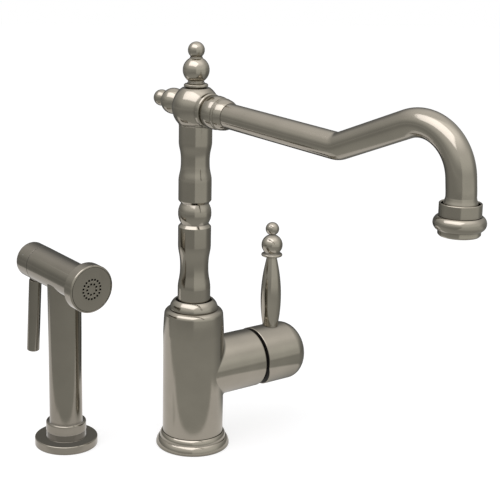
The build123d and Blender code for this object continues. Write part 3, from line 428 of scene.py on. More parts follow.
def stand(origin=(0, 0, 0), axis=(0, 0, 1)):
    """A place whose +Z runs along the axis and whose +X points as near up as it can."""
    z = Vector(axis).normalized()
    up = Vector((0, 0, 1)) if abs(z.z) < 0.999 else Vector((1, 0, 0))
    x = (up - z * up.dot(z)).normalized()
    y = z.cross(x)
    return Matrix.Translation(Vector(origin)) @ Matrix((x, y, z)).transposed().to_4x4()


frame_slot = {entry["node"]: entry["material_slot"] for entry in frame["record"]["subparts"]}


def piece_from(name, points, faces, paint, body, *nodes):
    """A piece of the scene from points in mm, riding on the body in place of the nodes."""
    mesh = bpy.data.meshes.new(name)
    mesh.from_pydata([Vector(point) * 0.001 for point in points], [], faces)
    mesh.validate()
    work = bmesh.new()
    work.from_mesh(mesh)
    bmesh.ops.remove_doubles(work, verts=work.verts, dist=1e-7)
    bmesh.ops.recalc_face_normals(work, faces=work.faces)
    work.to_mesh(mesh)
    work.free()
    mesh.polygons.foreach_set("use_smooth", [True] * len(mesh.polygons))
    mesh.materials.append(paint)
    piece = bpy.data.objects.new(name, mesh)
    scene.collection.objects.link(piece)
    piece.modifiers.new("even_shading", "WEIGHTED_NORMAL").keep_sharp = True
    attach(piece, body)
    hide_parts(*nodes)
    return piece


def circle(radius, height, count, centre=(0, 0)):
    return [Vector((centre[0] + radius * math.cos(a), centre[1] + radius * math.sin(a), height))
            for a in (2 * math.pi * k / count for k in range(count))]


def turned(name, profile, place, paint, body, *nodes, ease=0.25, around=120):
    """A closed profile spun round the place's +Z, as on a lathe."""
    points, rings = [], []
    for radius, height in eased(profile, ease):
        on_axis = radius < 1e-6
        start, count = len(points), 1 if on_axis else around
        points += [place @ spot for spot in circle(0 if on_axis else radius, height, count)]
        rings.append([start] * around if on_axis else range(start, start + around))
    faces = [face for one, two in zip(rings, rings[1:] + rings[:1]) for face in band(one, two)]
    return piece_from(name, points, faces, paint, body, *nodes)


upright = stand()
nickel = satin_nickel("satin_nickel_upright")
ring_bore, ring_height = 15.8, 11.6
gasket_radius, gasket_height = 25.65, 2         # the recess for the deck's gasket
foot_radius, foot_low = 28.9, 0.15
turned("base_ring", outline(
    (ring_bore, gasket_height), (gasket_radius, gasket_height), (gasket_radius, foot_low),
    (foot_radius, foot_low), (foot_radius + 0.4, 0.8), ((28.75, 3.9), (26.95, 6.75)), (26.35, 7.05),
    ((25.95, 9.6), (24.5, ring_height)), (ring_bore, ring_height)),
    upright, nickel, "fixed_column", "base_flange", ease=0.12)


# ---- Body with its side branch
# One brass casting, bored for the column and the cartridge, polished and plated.
# The branch runs into the body with a small fillet all round.
body_radius, body_top = 24.1, 113.4
shank_bore, shank_depth = 15.55, 19.6
collar_bore, collar_seat = 16.6, 104
column_bore, column_seat = 13, 96
water_bore, water_floor = 9.05, 66
branch_radius, branch_height, branch_face = 23.4, 61.4, 57.5
nut_bore, nut_seat = 19.05, 50
cartridge_bore, cartridge_seat = 17.55, 22
branch_turn = math.radians(32.5)
branch_out = Vector((math.cos(branch_turn), math.sin(branch_turn), 0))
branch_aside = Vector((-math.sin(branch_turn), math.cos(branch_turn), 0))
branch = stand((0, 0, branch_height), branch_out)
fillet, body_ease = 3.0, 0.2

# the wall is open towards the branch between two heights and for so many points each way
patch_low, patch_high = 32.0, 91.0
wall_points, patch_half, patch_rows = 120, 33, 24
below_patch = eased(outline(
    (0, shank_depth), (shank_bore, shank_depth), (shank_bore, ring_height),
    (body_radius - 0.3, ring_height), (body_radius, ring_height + 0.3), (body_radius, patch_low)),
    body_ease, closed=False)
beside_patch = [(body_radius, patch_low + (patch_high - patch_low) * k / patch_rows)
                for k in range(patch_rows + 1)]
above_patch = eased(outline(
    (body_radius, patch_high), (body_radius, 93.8), [(23.65, 103.8), (23.3, 108.8)],
    ((21.95, 112.05), (18.7, body_top)), (collar_bore, body_top), (collar_bore, collar_seat),
    (column_bore, collar_seat), (column_bore, column_seat), (water_bore, column_seat),
    (water_bore, water_floor), (0, water_floor)), body_ease, closed=False)
body_points, body_faces, known_corners = [], [], {}


def wall_corner(k, radius, height):
    """The number of the point k steps round the body from the branch, made only once."""
    if radius > 1e-6:
        key = (k % wall_points, round(radius, 4), round(height, 4))
    else:
        key = (0, 0.0, round(height, 4))
    if key not in known_corners:
        turn = branch_turn + 2 * math.pi * k / wall_points
        known_corners[key] = len(body_points)
        body_points.append((radius * math.cos(turn), radius * math.sin(turn), height))
    return known_corners[key]


for profile, opens in ((below_patch, False), (beside_patch, True), (above_patch, False)):
    for low, high in zip(profile, profile[1:]):
        for k in range(patch_half, wall_points - patch_half) if opens else range(wall_points):
            corners = list(dict.fromkeys((wall_corner(k, *low), wall_corner(k + 1, *low),
                                          wall_corner(k + 1, *high), wall_corner(k, *high))))
            if len(corners) > 2:
                body_faces.append(corners)

# rings of points lead from the patch's edge over wall and fillet to the branch and into it
heights = [height for radius, height in beside_patch]
patch_edge = ([(k, patch_low) for k in range(-patch_half, patch_half)]
              + [(patch_half, height) for height in heights[:-1]]
              + [(k, patch_high) for k in range(patch_half, -patch_half, -1)]
              + [(-patch_half, height) for height in heights[:0:-1]])
edge_turns = [2 * math.pi * k / wall_points for k, height in patch_edge]
spread = 0.78                                   # evens out the points round the branch
swings = [math.atan2(body_radius * turn * spread, height - branch_height)
          for turn, (k, height) in zip(edge_turns, patch_edge)]
loops = [[wall_corner(k, body_radius, height) for k, height in patch_edge]]


def add_loop(spots):
    loops.append(range(len(body_points), len(body_points) + len(spots)))
    body_points.extend(spots)


def fillet_at(swing):
    """The rolling fillet's centre and where it touches body and branch, as (up, aside, out)."""
    lift = (branch_radius + fillet) * math.cos(swing)
    aside = (branch_radius + fillet) * math.sin(swing)
    out = math.sqrt((body_radius + fillet)**2 - aside**2)
    on_body = body_radius / (body_radius + fillet)
    on_branch = branch_radius / (branch_radius + fillet)
    return (Vector((lift, aside, out)), Vector((lift, aside * on_body, out * on_body)),
            Vector((lift * on_branch, aside * on_branch, out)))


def from_branch(spot):
    """The place of a point given as (up, aside, out) of the branch."""
    return tuple(branch_out * spot.z + branch_aside * spot.y
                 + Vector((0, 0, branch_height + spot.x)))


wall_rings, fillet_rings = 8, 7
for share in (ring / wall_rings for ring in range(1, wall_rings + 1)):
    spots = []
    for edge_turn, (k, height), swing in zip(edge_turns, patch_edge, swings):
        touch = fillet_at(swing)[1]
        turn = (branch_turn + (1 - share) * edge_turn + share * math.atan2(touch.y, touch.z))
        spots.append((body_radius * math.cos(turn), body_radius * math.sin(turn),
                      (1 - share) * height + share * (branch_height + touch.x)))
    add_loop(spots)
for share in (ring / fillet_rings for ring in range(1, fillet_rings + 1)):
    spots = []
    for swing in swings:
        centre, on_body, on_branch = fillet_at(swing)
        one, two = on_body - centre, on_branch - centre
        angle = one.angle(two)
        arm = one * math.sin((1 - share) * angle) + two * math.sin(share * angle)
        spots.append(from_branch(centre + arm / math.sin(angle)))
    add_loop(spots)
branch_end = eased(outline(
    (branch_radius, 34), (branch_radius, branch_face - 2.4),
    ((branch_radius - 0.7, branch_face - 0.7), (branch_radius - 2.4, branch_face)),
    (nut_bore, branch_face), (nut_bore, nut_seat), (cartridge_bore, nut_seat),
    (cartridge_bore, cartridge_seat), (0.4, cartridge_seat)), body_ease, closed=False)
past_fillet = 30.0
for radius, out in [(branch_radius, past_fillet)] + branch_end[1:]:
    at_fillet = radius == branch_radius and out == past_fillet
    add_loop([from_branch(Vector((
        radius * math.cos(swing), radius * math.sin(swing),
        max(out, fillet_at(swing)[2].z) if at_fillet else out))) for swing in swings])
for one, two in zip(loops, loops[1:]):
    body_faces += band(one, two)
body_faces.append(list(loops[-1]))
body_piece = piece_from("body", body_points, body_faces, nickel, "fixed_column", "faucet_body")


def plain_skin(name, colour, dark, rough, metal=0.0, scale=400.0):
    """A skin with a faint cloud in its tone and a fine unevenness."""
    paint = bpy.data.materials.new(name)
    n = Nodes(paint)
    spot = n.add("TexCoord", out="Object")
    cloud = n.add("TexNoise", Vector=spot, Scale=scale, Detail=5.0, Roughness=0.6)
    fine = n.add("TexNoise", Vector=spot, Scale=scale * 12, Detail=2.0)
    bump = n.add("Bump", Strength=0.15, Distance=0.0001, Height=fine)
    n.add("OutputMaterial", Surface=n.add(
        "BsdfPrincipled", Base_Color=blend(n, cloud, dark, colour), Metallic=metal,
        Roughness=rough + 0.1 * (cloud - 0.5), Normal=bump))
    return paint


# painted shade: a near-black skin for bores, gaps and seams, where the metal lies in shadow
raw_bore = plain_skin("raw_bore", (0.016, 0.014, 0.011), (0.007, 0.006, 0.005), 0.62)


def finish_part(piece, inside, paint=raw_bore):
    """Painted shade: another finish for the faces whose middle passes the test, by default the
    near-black shade of bores, gaps and seams.
    """
    piece.data.materials.append(paint)
    for flat in piece.data.polygons:
        if inside(flat.center * 1000):
            flat.material_index = 1


def off_axis(spot, place=upright):
    """How far the spot is from the place's axis and how far along it."""
    local = place.inverted() @ spot
    return math.hypot(local.x, local.y), local.z


def in_body_bore(spot):
    from_column, height = off_axis(spot)
    from_branch_axis, out = off_axis(spot, branch)
    return (height > column_seat - 2 and from_column < collar_bore + 0.1
            or out > cartridge_seat - 1 and from_branch_axis < branch_radius - 1)


# painted shade: the body's bores and the branch's end face, in the gap under the hub, are near
# black
finish_part(body_piece, in_body_bore)


# ---- Collar nut
# A domed brass ring screwed down over the body's top, plated like the body.
# It holds the turning column in.
nut_thread, nut_foot, nut_mouth, nut_top = 16.5, 19.0, 14.2, 120.95
nut_hole, nut_floor = 7.3, 115.4
collar_piece = turned("collar_nut", outline(
    (nut_hole, collar_seat), (nut_thread, collar_seat), (nut_thread, body_top),
    (nut_foot - 0.2, body_top), (nut_foot, body_top + 0.8), ((17.55, 118.3), (15.2, 120.8)),
    (nut_mouth + 0.5, nut_top), (nut_mouth, nut_top - 0.65), (nut_mouth, nut_floor),
    (nut_hole, nut_floor)), upright, nickel, "fixed_column", "column_collar", ease=0.15)
# painted shade: the mouth's inner wall is near black, for the shadowed gap round the column
finish_part(collar_piece, lambda spot: off_axis(spot)[0] < nut_mouth + 0.15)


# ---- Column
# Two hollow-waisted sleeves with a bead between them, turned from brass tube and slipped
# over the riser; they turn with the spout.
riser_bore, sleeve_radius, waist_radius = 7.05, 12.85, 11.1
column_foot, bead_low, bead_high, column_top = 115.7, 182.1, 198.5, 259.3
bead_radius, bead_neck = 12.95, 10.6


def sleeve(low, high, low_band, high_band, low_round, high_round):
    """A tube with a straight band at each end, rounded at its rims, and a hollow waist."""
    a, b = low + low_band, high - high_band
    shoulder = waist_radius + 0.3 * (sleeve_radius - waist_radius)
    waist = [(sleeve_radius - 0.14, a + 1.1), (shoulder, a + 0.24 * (b - a)),
             (waist_radius, (a + b) / 2), (shoulder, b - 0.24 * (b - a)),
             (sleeve_radius - 0.14, b - 1.1), (sleeve_radius, b + 1)]
    return outline(
        (riser_bore, low), (sleeve_radius - low_round, low),
        (sleeve_radius, low + low_round * 1.15), (sleeve_radius, a - 1), waist,
        (sleeve_radius, high - high_round * 1.15), (sleeve_radius - high_round, high),
        (riser_bore, high))


turned("column_lower_sleeve", sleeve(column_foot, bead_low, 16, 18.5, 0.9, 2.0),
       upright, nickel, "spout", "column_lower")
bead_middle = (bead_low + bead_high) / 2
turned("column_middle_bead", outline(
    (riser_bore, bead_low), (bead_neck, bead_low),
    [(12.27, bead_middle - 4.59), (bead_radius, bead_middle), (12.27, bead_middle + 4.59),
     (bead_neck, bead_high)], (riser_bore, bead_high)), upright, nickel, "spout", "column_bead")
turned("column_upper_sleeve", sleeve(bead_high, column_top, 18.5, 14, 2.0, 0.2),
       upright, nickel, "spout", "column_upper")


# ---- Spout hub and its finials
# A ball bored for riser and spout, with a lip at its foot, and two ball finials screwed in:
# one on a ring at the top, one behind in line with the spout. All are turned brass, plated.
spout_turn, droop = math.radians(-52), math.radians(3.45)
hub_centre, hub_radius = 273.0, 18.3
lip_radius, lip_top, riser_end = 13.15, 260.8, 267
hub_flat = hub_centre + math.sqrt(hub_radius**2 - 10.8**2)
spout_level = Vector((math.cos(spout_turn), math.sin(spout_turn), 0))
spout_aside = Vector((-math.sin(spout_turn), math.cos(spout_turn), 0))
spout_axis = spout_level * math.cos(droop) - Vector((0, 0, math.sin(droop)))
spout = stand((0, 0, hub_centre), spout_axis)
behind = stand((0, 0, hub_centre), -spout_axis)


def ball(radius, centre, low, high):
    """The arc step of a ball's outside between two heights."""
    middle = (low + high) / 2
    return ((math.sqrt(radius**2 - (middle - centre)**2), middle),
            (math.sqrt(max(0, radius**2 - (high - centre)**2)), high))


turned("hub_ball", outline(
    (riser_bore, column_top), (lip_radius - 0.25, column_top), (lip_radius, column_top + 0.5),
    (lip_radius, lip_top - 0.3), (lip_radius - 0.4, lip_top),
    (math.sqrt(hub_radius**2 - (hub_centre - lip_top)**2), lip_top),
    ball(hub_radius, hub_centre, lip_top, hub_flat), (0, hub_flat), (0, riser_end),
    (riser_bore, riser_end)), upright, nickel, "spout", "spout_hub", ease=0.1)
stud_hole, foot_ring_height = 3.05, 3.2
# painted light: the foot ring gets a lighter copy of the nickel
turned("finial_foot_ring", outline(
    (stud_hole, hub_flat), (8.0, hub_flat), (8.2, hub_flat + 0.6), (9.3, hub_flat + 1.2),
    (9.2, hub_flat + 2.6), (8.4, hub_flat + foot_ring_height),
    (stud_hole, hub_flat + foot_ring_height)),
    upright, satin_nickel("satin_nickel_foot_ring", painted_light=1.25), "spout", "finial_ring", ease=0.2)


def finial(low, stud_length):
    """Two balls on a grooved neck, with a stud below that goes into the hub."""
    stud, neck, groove, waist, tip_neck = 3, 6.7, 6.2, 4.9, 4.2
    big, small = 10.2, 6.4
    neck_end = low + 2.6
    centre = neck_end + math.sqrt(big**2 - neck**2)
    big_end = centre + math.sqrt(big**2 - waist**2)
    tip_foot = big_end + 1.2
    tip_centre = tip_foot + math.sqrt(small**2 - tip_neck**2)
    return outline(
        (0, low - stud_length), (stud, low - stud_length), (stud, low), (neck, low),
        (neck, low + 0.9), (groove, low + 1.2), (groove, neck_end - 0.3), (neck, neck_end),
        ball(big, centre, neck_end, big_end), (waist, tip_foot - 0.3), (tip_neck, tip_foot),
        ball(small, tip_centre, tip_foot, tip_centre + small))


# painted light: the top finial gets a lighter copy of the nickel
turned("finial_top", finial(hub_flat + foot_ring_height, 11.2), upright,
       satin_nickel("satin_nickel_finial", painted_light=1.12), "spout", "top_finial", ease=0.12)
turned("finial_behind", finial(16.3, 8.3), behind,
       satin_nickel("satin_nickel_behind", spout_axis, (0, 0, hub_centre)),
       "spout", "rear_finial", ease=0.12)


# ---- Spout
# A bent brass tube in a turned collar: a ferrule ring against the hub, a swelling collar, and
# a nose that tapers down to the tube. The tube droops, lifts at a bend and arches over.
along_spout = satin_nickel("satin_nickel_spout", spout_axis, (0, 0, hub_centre))
tube_clear, ferrule_radius, ferrule_back, ferrule_front = 9.55, 13.3, 13.9, 17.9
turned("spout_ferrule_ring", outline(
    (tube_clear, 15.9), (12.05, 15.9), (12.05, ferrule_back), (ferrule_radius - 0.5, ferrule_back),
    (ferrule_radius, ferrule_back + 0.6), (ferrule_radius, 16.9), (12.7, 17.7),
    (11.9, ferrule_front), (tube_clear, ferrule_front)),
    spout, along_spout, "spout", "spout_ferrule", ease=0.15)
swelling = ((12.85, 23.9), (12.1, 29.3))
groove, rib, nose_end = 11.5, 12.15, 38.8
turned("spout_collar_nose", outline(
    (tube_clear, ferrule_front), (groove, ferrule_front), (11.9, 18.7), swelling,
    (groove + 0.05, 29.6), (groove + 0.05, 30.1), (rib, 30.4), (rib, 31.5),
    (groove, 31.8), (groove, 32.3), (11.85, 32.6), ((11.4, 35.3), (9.8, nose_end)),
    (tube_clear, nose_end)), spout, along_spout, "spout", "spout_collar", ease=0.12)

# the tube's centre line as (reach, height): four bends' corners and the radius of each bend
tube_radius, tube_bore, tube_points = 9.5, 8.3, 72
tube_start, first_length, crown_reach, outlet_reach = 10.9, 148.8, 246.7, 251.3
rise = math.radians(21.57)
bend_reach = first_length * math.cos(droop)
bend_height = hub_centre - first_length * math.sin(droop)
crown_height = bend_height + (crown_reach - bend_reach) * math.tan(rise)
cup_top = crown_height - 58.5
tube_corners = [
    (tube_start * math.cos(droop), hub_centre - tube_start * math.sin(droop)),
    (bend_reach, bend_height), (crown_reach, crown_height),
    (outlet_reach, cup_top + 6.3), (outlet_reach, cup_top - 8.2)]
centre_line = tube_corners[:1]
for before, here, after, bend_radius in zip(tube_corners, tube_corners[1:], tube_corners[2:],
                                            (15.0, 32.2, 45.0)):
    here = Vector(here)
    back, on = (Vector(before) - here).normalized(), (Vector(after) - here).normalized()
    half = back.angle(on) / 2
    cut = bend_radius / math.tan(half)
    first, last = here + back * cut, here + on * cut
    middle = here + (back + on).normalized() * (bend_radius / math.sin(half) - bend_radius)
    end = Vector(centre_line[-1])
    if (first - end).length > 20:
        centre_line += [tuple(end.lerp(first, k / 8)) for k in range(1, 8)]
    centre_line.append(tuple(first))
    centre_line += arc_run(tuple(first), tuple(middle), tuple(last), 26 if bend_radius < 40 else 12)
centre_line.append(tube_corners[-1])
tube_spots, tube_rings = [], []
for radius, line, way in ((tube_radius, centre_line, 1), (tube_bore, centre_line[::-1], -1)):
    for k, (reach, height) in enumerate(line):
        along = Vector(line[min(k + 1, len(line) - 1)]) - Vector(line[max(k - 1, 0)])
        along = (along * way).normalized()
        lift = spout_level * -along.y + Vector((0, 0, along.x))
        middle = spout_level * reach + Vector((0, 0, height))
        tube_rings.append(range(len(tube_spots), len(tube_spots) + tube_points))
        tube_spots += [middle + (lift * math.cos(a) + spout_aside * math.sin(a)) * radius
                       for a in (2 * math.pi * j / tube_points for j in range(tube_points))]
tube_faces = [face for one, two in zip(tube_rings, tube_rings[1:] + tube_rings[:1])
              for face in band(one, two)]
piece_from("spout_bent_tube", tube_spots, tube_faces,
           satin_nickel("satin_nickel_tube", spout_axis, (0, 0, hub_centre)),
           "spout", "spout_tube")


# ---- Outlet
# A brass cup pressed on the tube's flared end, a round moulding slipped over it, and the
# aerator screwed in from below. The cup's rim stands open round the flare.
outlet_spot = spout_level * outlet_reach
outlet = stand(outlet_spot)
at_outlet = satin_nickel("satin_nickel_outlet", (0, 0, 1), outlet_spot)
moulding_top, moulding_low = cup_top - 8.2, cup_top - 16.8
cup_radius, cup_mouth, moulding_bore = 13.2, 11.9, 13.05
turned("outlet_open_cup", outline(
    (tube_bore, moulding_top - 2), (11.2, moulding_top - 2), (11.2, moulding_low),
    (cup_radius - 0.2, moulding_low), (cup_radius - 0.2, moulding_top),
    (cup_radius, moulding_top + 0.2), (cup_radius, cup_top - 0.6),
    ((cup_radius - 0.2, cup_top - 0.2), (cup_radius - 0.6, cup_top)), (cup_mouth, cup_top - 0.6),
    (cup_mouth, moulding_top), (tube_bore, moulding_top)),
    outlet, at_outlet, "spout", "outlet_cup", ease=0.1)
turned("outlet_flare", outline(
    (9.3, moulding_top + 0.1), (11.0, moulding_top + 0.1), (11.0, cup_top - 1.0),
    ((10.0, cup_top + 1.4), (9.4, cup_top + 4.2)), (9.3, cup_top + 4.2)),
    outlet, at_outlet, "spout", "spout_tube", ease=0.0)
turned("outlet_moulding", outline(
    (moulding_bore, moulding_low), (14.1, moulding_low),
    ((16.39, moulding_low + 3.96), (13.9, moulding_top)), (moulding_bore, moulding_top)),
    outlet, at_outlet, "spout", "outlet_ring", ease=0.15)
shell_radius, shell_bore, thread_radius, thread_bore = 13.2, 9.55, 11.15, 10.85
shell_low = moulding_low - 3.8
# painted light: the aerator gets a lighter copy of the nickel
turned("aerator_shell", outline(
    (shell_bore, shell_low), (shell_radius - 0.9, shell_low), (shell_radius, shell_low + 1),
    (shell_radius, moulding_low), (thread_radius, moulding_low),
    (thread_radius, moulding_low + 3), (thread_bore, moulding_low + 3),
    (thread_bore, shell_low + 1.2), (shell_bore, shell_low + 1.2)),
    outlet, satin_nickel("satin_nickel_aerator", (0, 0, 1), outlet_spot, 1.2),
    "spout", "aerator_housing", ease=0.2)


# ---- Handle
# The hub is a domed brass cap on the cartridge's spindle. The lever is screwed into it, and
# a ring with two balls into the lever's end.
hub_side, hub_back, hub_recess, hub_end = 23.85, 59, 66.5, 104.8
along_branch = satin_nickel("satin_nickel_handle", branch_out, (0, 0, branch_height))
hub_piece = turned("handle_hub_cap", outline(
    (0, 76.5), (5, 76.5), (5, hub_recess), (20.55, hub_recess), (20.55, hub_back),
    (hub_side - 0.4, hub_back), (hub_side, hub_back + 0.4), (hub_side, 89), ("dome", hub_end)),
    branch, along_branch, "handle", "handle_hub", ease=0.15)
# the rear rim below the axis is cut back at a slant so that the hub can tilt
cut_from, cut_depth = -4.0, 5.5
slope = cut_depth / (hub_side + cut_from)
for vertex in hub_piece.data.vertices:
    spot = branch.inverted() @ (vertex.co * 1000)
    if spot.x < cut_from and spot.z < hub_recess + 0.1:
        share = max(0.0, min(1.0, (hub_recess - spot.z) / (hub_recess - hub_back)))
        spot.z += (cut_from - spot.x) * slope * share
        vertex.co = (branch @ spot) * 0.001


def in_hub(spot):
    from_axis, out = off_axis(spot, branch)
    return from_axis < hub_side - 0.55 and out < 76


# painted shade: the hub's rear face and recess are near black, for the shade in the gap against the
# branch
finish_part(hub_piece, in_hub)
lever_spot = branch_out * 77
lever = stand(lever_spot)
# painted light: the lever's nickel is a lighter copy
at_lever = satin_nickel("satin_nickel_lever", (0, 0, 1), lever_spot, 1.1)
lever_foot, lever_belly, lever_neck = 6.3, 8.35, 3.95
lever_low = branch_height + hub_side - 2.2
belly_height, lever_top = lever_low + 26, lever_low + 61
turned("lever_grip", outline(
    (0, lever_low), (lever_foot, lever_low), (lever_foot, lever_low + 2.4),
    [(lever_foot + 0.72 * (lever_belly - lever_foot), lever_low + 0.52 * 26),
     (lever_belly, belly_height),
     (0.64 * lever_belly + 0.36 * lever_neck, belly_height + 0.59 * 35),
     (lever_neck, lever_top)], (0, lever_top)),
    lever, at_lever, "handle", "handle_lever", ease=0.1)
rim_radius, collar_radius, tip_waist, big_ball, small_ball = 8.6, 6.2, 2.75, 8.6, 5.5
ring_end = lever_top + 2.9
big_low = ring_end + 0.9
big_centre = big_low + math.sqrt(big_ball**2 - collar_radius**2)
big_top = big_centre + math.sqrt(big_ball**2 - tip_waist**2)
small_low = big_top + 0.4
small_centre = small_low + math.sqrt(small_ball**2 - tip_waist**2)
turned("lever_ball_finial", outline(
    (0, lever_top), (lever_foot, lever_top), (rim_radius - 0.5, lever_top + 0.5),
    ((rim_radius, lever_top + 1.45), (rim_radius - 0.5, lever_top + 2.5)),
    (collar_radius, ring_end), (collar_radius, big_low),
    ball(big_ball, big_centre, big_low, big_top), (tip_waist, small_low),
    ball(small_ball, small_centre, small_low, small_centre + small_ball)),
    lever, at_lever, "handle", "lever_finial", ease=0.12)


# ---- Spray holder
# A turned brass disc and neck in one with the shank below the deck, and a ring screwed on
# the neck whose open mouth guides the spray's stem.
spray_spot = Vector((-1000 * spray_away, 0, 0))
spray = stand(spray_spot)
# painted shade: the holder and the spray's stem get a darker copy of the nickel
at_spray = satin_nickel("satin_nickel_spray", (0, 0, 1), spray_spot, 0.82)
disc_radius, disc_top = 25.1, 6.6
recess_radius, recess_height = 21.55, 2         # for the holder's gasket
shank_radius, shank_way, shank_low = 13.4, 10.9, -48
neck_radius, neck_thread, neck_shoulder, neck_top = 15.75, 14.8, 12, 16
mouth_radius, mouth_bore, mouth_top = 16.05, 13.75, 20
disc_piece = turned("holder_disc", outline(
    (shank_way, shank_low), (shank_radius - 0.8, shank_low), (shank_radius, shank_low + 0.8),
    (shank_radius, recess_height), (recess_radius, recess_height), (recess_radius, 0.1),
    (disc_radius - 0.3, 0.1), (disc_radius, 0.5), (disc_radius, disc_top - 0.5),
    (disc_radius - 0.5, disc_top), (neck_radius + 0.3, disc_top), (neck_radius, disc_top + 0.3),
    (neck_radius, neck_shoulder), (neck_thread, neck_shoulder), (neck_thread, neck_top),
    (13.8, neck_top), (13.8, 8), (shank_way, 8)),
    spray, at_spray, "fixed_column", "spray_holder", ease=0.25)
# painted reflection: the neck gets a darker copy of the nickel, for the disc's dark reflection all
# round
finish_part(disc_piece, lambda spot: (disc_top + 0.1 < spot.z < neck_shoulder
                                      and off_axis(spot, spray)[0] > neck_radius - 0.45),
            satin_nickel("satin_nickel_neck", (0, 0, 1), spray_spot, 0.42))
mouth_piece = turned("holder_mouth_ring", outline(
    (neck_thread + 0.05, neck_shoulder + 0.05), (neck_radius, neck_shoulder + 0.05),
    (mouth_radius, 12.35), (mouth_radius, 18.4), ((15.7, 19.5), (14.75, mouth_top)),
    ((14.05, 19.9), (mouth_bore, 19.3)), (mouth_bore, neck_top + 0.05),
    (neck_thread + 0.05, neck_top + 0.05)),
    spray, at_spray, "fixed_column", "holder_ring", ease=0.12)
# painted shade: the ring's bore is near black, for the shade round the stem
finish_part(mouth_piece, lambda spot: off_axis(spot, spray)[0] < mouth_bore + 0.2)


# ---- Hand spray
# Stem and barrel are one brass casting, with a cap screwed on behind, a wide collar in front
# and a flat face with two rings of holes.
head_turn, head_droop = math.radians(-54.5), math.radians(2.4)
head_axis = Vector((math.cos(head_turn) * math.cos(head_droop),
                    math.sin(head_turn) * math.cos(head_droop), -math.sin(head_droop)))
head_spot = spray_spot + Vector((0, 0, 140))
head = stand(head_spot, head_axis)
# painted shade: the spray's barrel and cap get a darker copy of the nickel
at_head = satin_nickel("satin_nickel_head", head_axis, head_spot, 0.80)
stem_low, stem_top, stem_bore, stem_radius = 12, 134, 8.0, 13.1
turned("spray_stem", outline(
    (stem_bore, stem_low), (12.0, stem_low), (stem_radius, 13.4), (stem_radius, 74),
    (13.3, stem_top), (stem_bore, stem_top)),
    spray, at_spray, "hand_spray", "sprayer_body", ease=0.2)
barrel_bore, barrel_radius, seam = 11.3, 14.3, -34
web_front, web_back, web_hole = -8, -12, 1.95
barrel_piece = turned("spray_barrel", outline(
    (barrel_bore, seam), (barrel_radius - 0.25, seam), (barrel_radius, seam + 0.3), (13.7, 30),
    (barrel_bore, 30), (barrel_bore, web_front), (web_hole, web_front), (web_hole, web_back),
    (barrel_bore, web_back)), head, at_head, "hand_spray", "sprayer_body", ease=0.15)
cap_end = -51
cap_piece = turned("spray_rear_cap", outline(
    (0, cap_end), (12.1, cap_end), ((13.7, -50.4), (barrel_radius, -48.8)),
    (barrel_radius, seam - 0.3), (barrel_radius - 0.25, seam), (barrel_bore, seam),
    (barrel_bore, cap_end + 2), (0, cap_end + 2)),
    head, at_head, "hand_spray", "rear_cap", ease=0.15)
# painted shade: the chamfers at the seam between cap and barrel get the near-black shade, so it
# reads as a fine dark line
finish_part(cap_piece, lambda spot: off_axis(spot, head)[1] > seam - 0.25)
finish_part(barrel_piece, lambda spot: off_axis(spot, head)[1] < seam + 0.22)
collar_back, collar_side, collar_front, collar_bore_front = 30, 18.9, 40, 17.5
# painted shade: the front collar gets a darker copy of the nickel
turned("spray_front_collar", outline(
    (9.1, 22), (11.25, 22), (11.25, collar_back), (collar_side - 0.5, collar_back),
    (collar_side, collar_back + 0.5), (collar_side, 39.1), (18.55, 39.75),
    (17.6, collar_front), (collar_bore_front, 39.9), (collar_bore_front, 31.6), (9.1, 31.6)),
    head, satin_nickel("satin_nickel_front", head_axis, head_spot, 0.90),
    "hand_spray", "spray_collar", ease=0.2)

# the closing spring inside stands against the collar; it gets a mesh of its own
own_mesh(frame["nodes"]["valve_spring"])

# the flat plate that closes the collar, drilled right through and countersunk in front
plate_back, plate_front, plate_radius, plate_ease = 38.0, 40.0, 17.4, 0.25
hole_radius, sink_radius, sink_depth = 0.55, 0.95, 0.4
hole_rings = ((7.7, 18, 0), (4.2, 9, 10))       # radius, number of holes, degrees of the first
holes = [(radius * math.cos(turn), radius * math.sin(turn))
         for radius, number, first in hole_rings
         for turn in (math.radians(360 / number * k + first) for k in range(number))]
rim_loops = [circle(plate_radius - plate_ease, plate_front, 96),
             circle(plate_radius, plate_front - plate_ease, 96),
             circle(plate_radius, plate_back, 96)]
hole_loops = [[circle(sink_radius, plate_front, 20, hole),
               circle(hole_radius, plate_front - sink_depth, 20, hole),
               circle(hole_radius, plate_back, 20, hole)] for hole in holes]
plate_spots, plate_faces = [], []
for end in (0, 2):
    sheet = [rim_loops[end]] + [loops_of_hole[end] for loops_of_hole in hole_loops]
    start = len(plate_spots)
    plate_spots += [spot for loop in sheet for spot in loop]
    plate_faces += [[start + k for k in triangle] for triangle in tessellate_polygon(sheet)]
for wall in [rim_loops] + hole_loops:
    for one, two in zip(wall, wall[1:]):
        start, middle, end = (len(plate_spots) + k * len(one) for k in range(3))
        plate_spots += one + two
        plate_faces += band(range(start, middle), range(middle, end))
# painted shade: the plate gets a darker copy of the nickel, and its holes painted shade
piece_from("spray_face_plate", [head @ spot for spot in plate_spots], plate_faces,
           satin_nickel("satin_nickel_drilled", head_axis, head_spot, 0.84, plate_front),
           "hand_spray", "spray_face")


# ---- Squeeze lever
# A round brass rod hung from a pin in the rear cap. Its flat tang passes through the cap's
# slot to the plunger.
pin_up, pin_back = 6, -43
off_plumb = math.radians(5.3)
rod = (head @ Matrix.Translation((pin_up, 0, pin_back))
       @ Matrix.Rotation(math.radians(90) + head_droop - off_plumb, 4, "Y"))
rod_axis = rod.to_3x3() @ Vector((0, 0, 1))
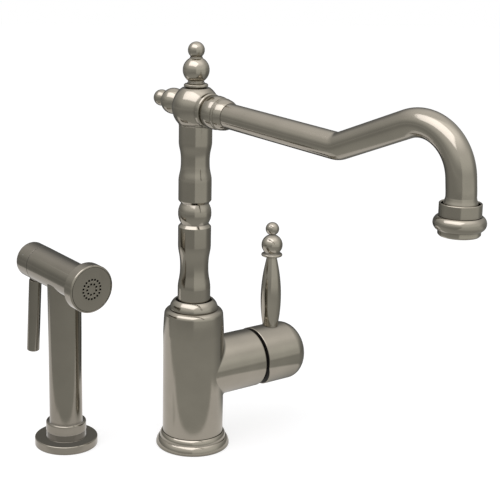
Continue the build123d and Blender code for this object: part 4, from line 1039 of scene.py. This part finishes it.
# painted shade: the rod and tang get a darker copy of the nickel
rod_paint = satin_nickel("satin_nickel_rod", rod_axis, rod.translation, 0.65)
rod_radius, rod_low, rod_high = 5.15, -84, -21.8
turned("squeeze_rod", outline(
    (0, rod_low), (rod_radius - 0.5, rod_low), (rod_radius, rod_low + 0.5),
    (rod_radius, rod_high - 0.6), (rod_radius - 0.6, rod_high), (0, rod_high)),
    rod, rod_paint, "spray_lever", "squeeze_lever", ease=0.2, around=64)
tang_half, tang_round, tang_low = 3.0, 4.2, -21.9
tang_side = [(tang_round * math.sin(a), tang_round * math.cos(a))
             for a in (math.pi * (k / 12 - 0.5) for k in range(13))]
tang_side = [(-tang_round, tang_low)] + tang_side + [(tang_round, tang_low)]
count = len(tang_side)
tang_faces = [list(range(count)), list(range(2 * count - 1, count - 1, -1))]
tang_faces += band(range(count, 2 * count), range(count))
tang_piece = piece_from(
    "squeeze_tang", [rod @ Vector((x, half, z)) for half in (-tang_half, tang_half)
                     for x, z in tang_side], tang_faces, rod_paint, "spray_lever", "squeeze_lever")
bevel = tang_piece.modifiers.new("broken_edges", "BEVEL")
bevel.width, bevel.segments, bevel.limit_method = 0.0003, 2, "ANGLE"


# ---- Small parts inside and under the deck
# Rubber, plastic, ceramic and brass pieces keep their own solids and only get their finish
# here. They are moulded, turned or stamped, and most of them are hidden.
skins = {
    "brass": plain_skin("bare_brass", (0.62, 0.44, 0.20), (0.48, 0.33, 0.15), 0.30, 1.0),
    "zinc_steel": plain_skin("zinc_steel", (0.55, 0.55, 0.54), (0.44, 0.44, 0.44), 0.35, 1.0),
    "black_rubber": plain_skin("black_rubber", (0.03, 0.03, 0.03), (0.018, 0.018, 0.018), 0.75),
    "white_acetal": plain_skin("white_acetal", (0.74, 0.73, 0.70), (0.68, 0.67, 0.63), 0.45),
    "alumina": plain_skin("alumina", (0.80, 0.78, 0.72), (0.74, 0.72, 0.66), 0.25),
}
for node, slot in frame_slot.items():
    mesh = frame["nodes"][node].data
    mesh.materials.clear()
    mesh.materials.append(skins.get(slot, nickel))


# ---- What the nickel doesn't mirror
# In the photo the metal shows little of its neighbours, so the column, the lever, the holder
# and the spray's stem with what moves inside it keep out of the other pieces' reflections.
unmirrored = ("column_", "riser_", "glide_", "lever_", "holder_", "spray_stem", "squeeze_")
for piece in bpy.data.objects:
    if (piece.name.startswith(unmirrored)
            or piece.parent in (frame["bodies"]["hose_tail"], frame["bodies"]["plunger"])):
        piece.visible_glossy = False
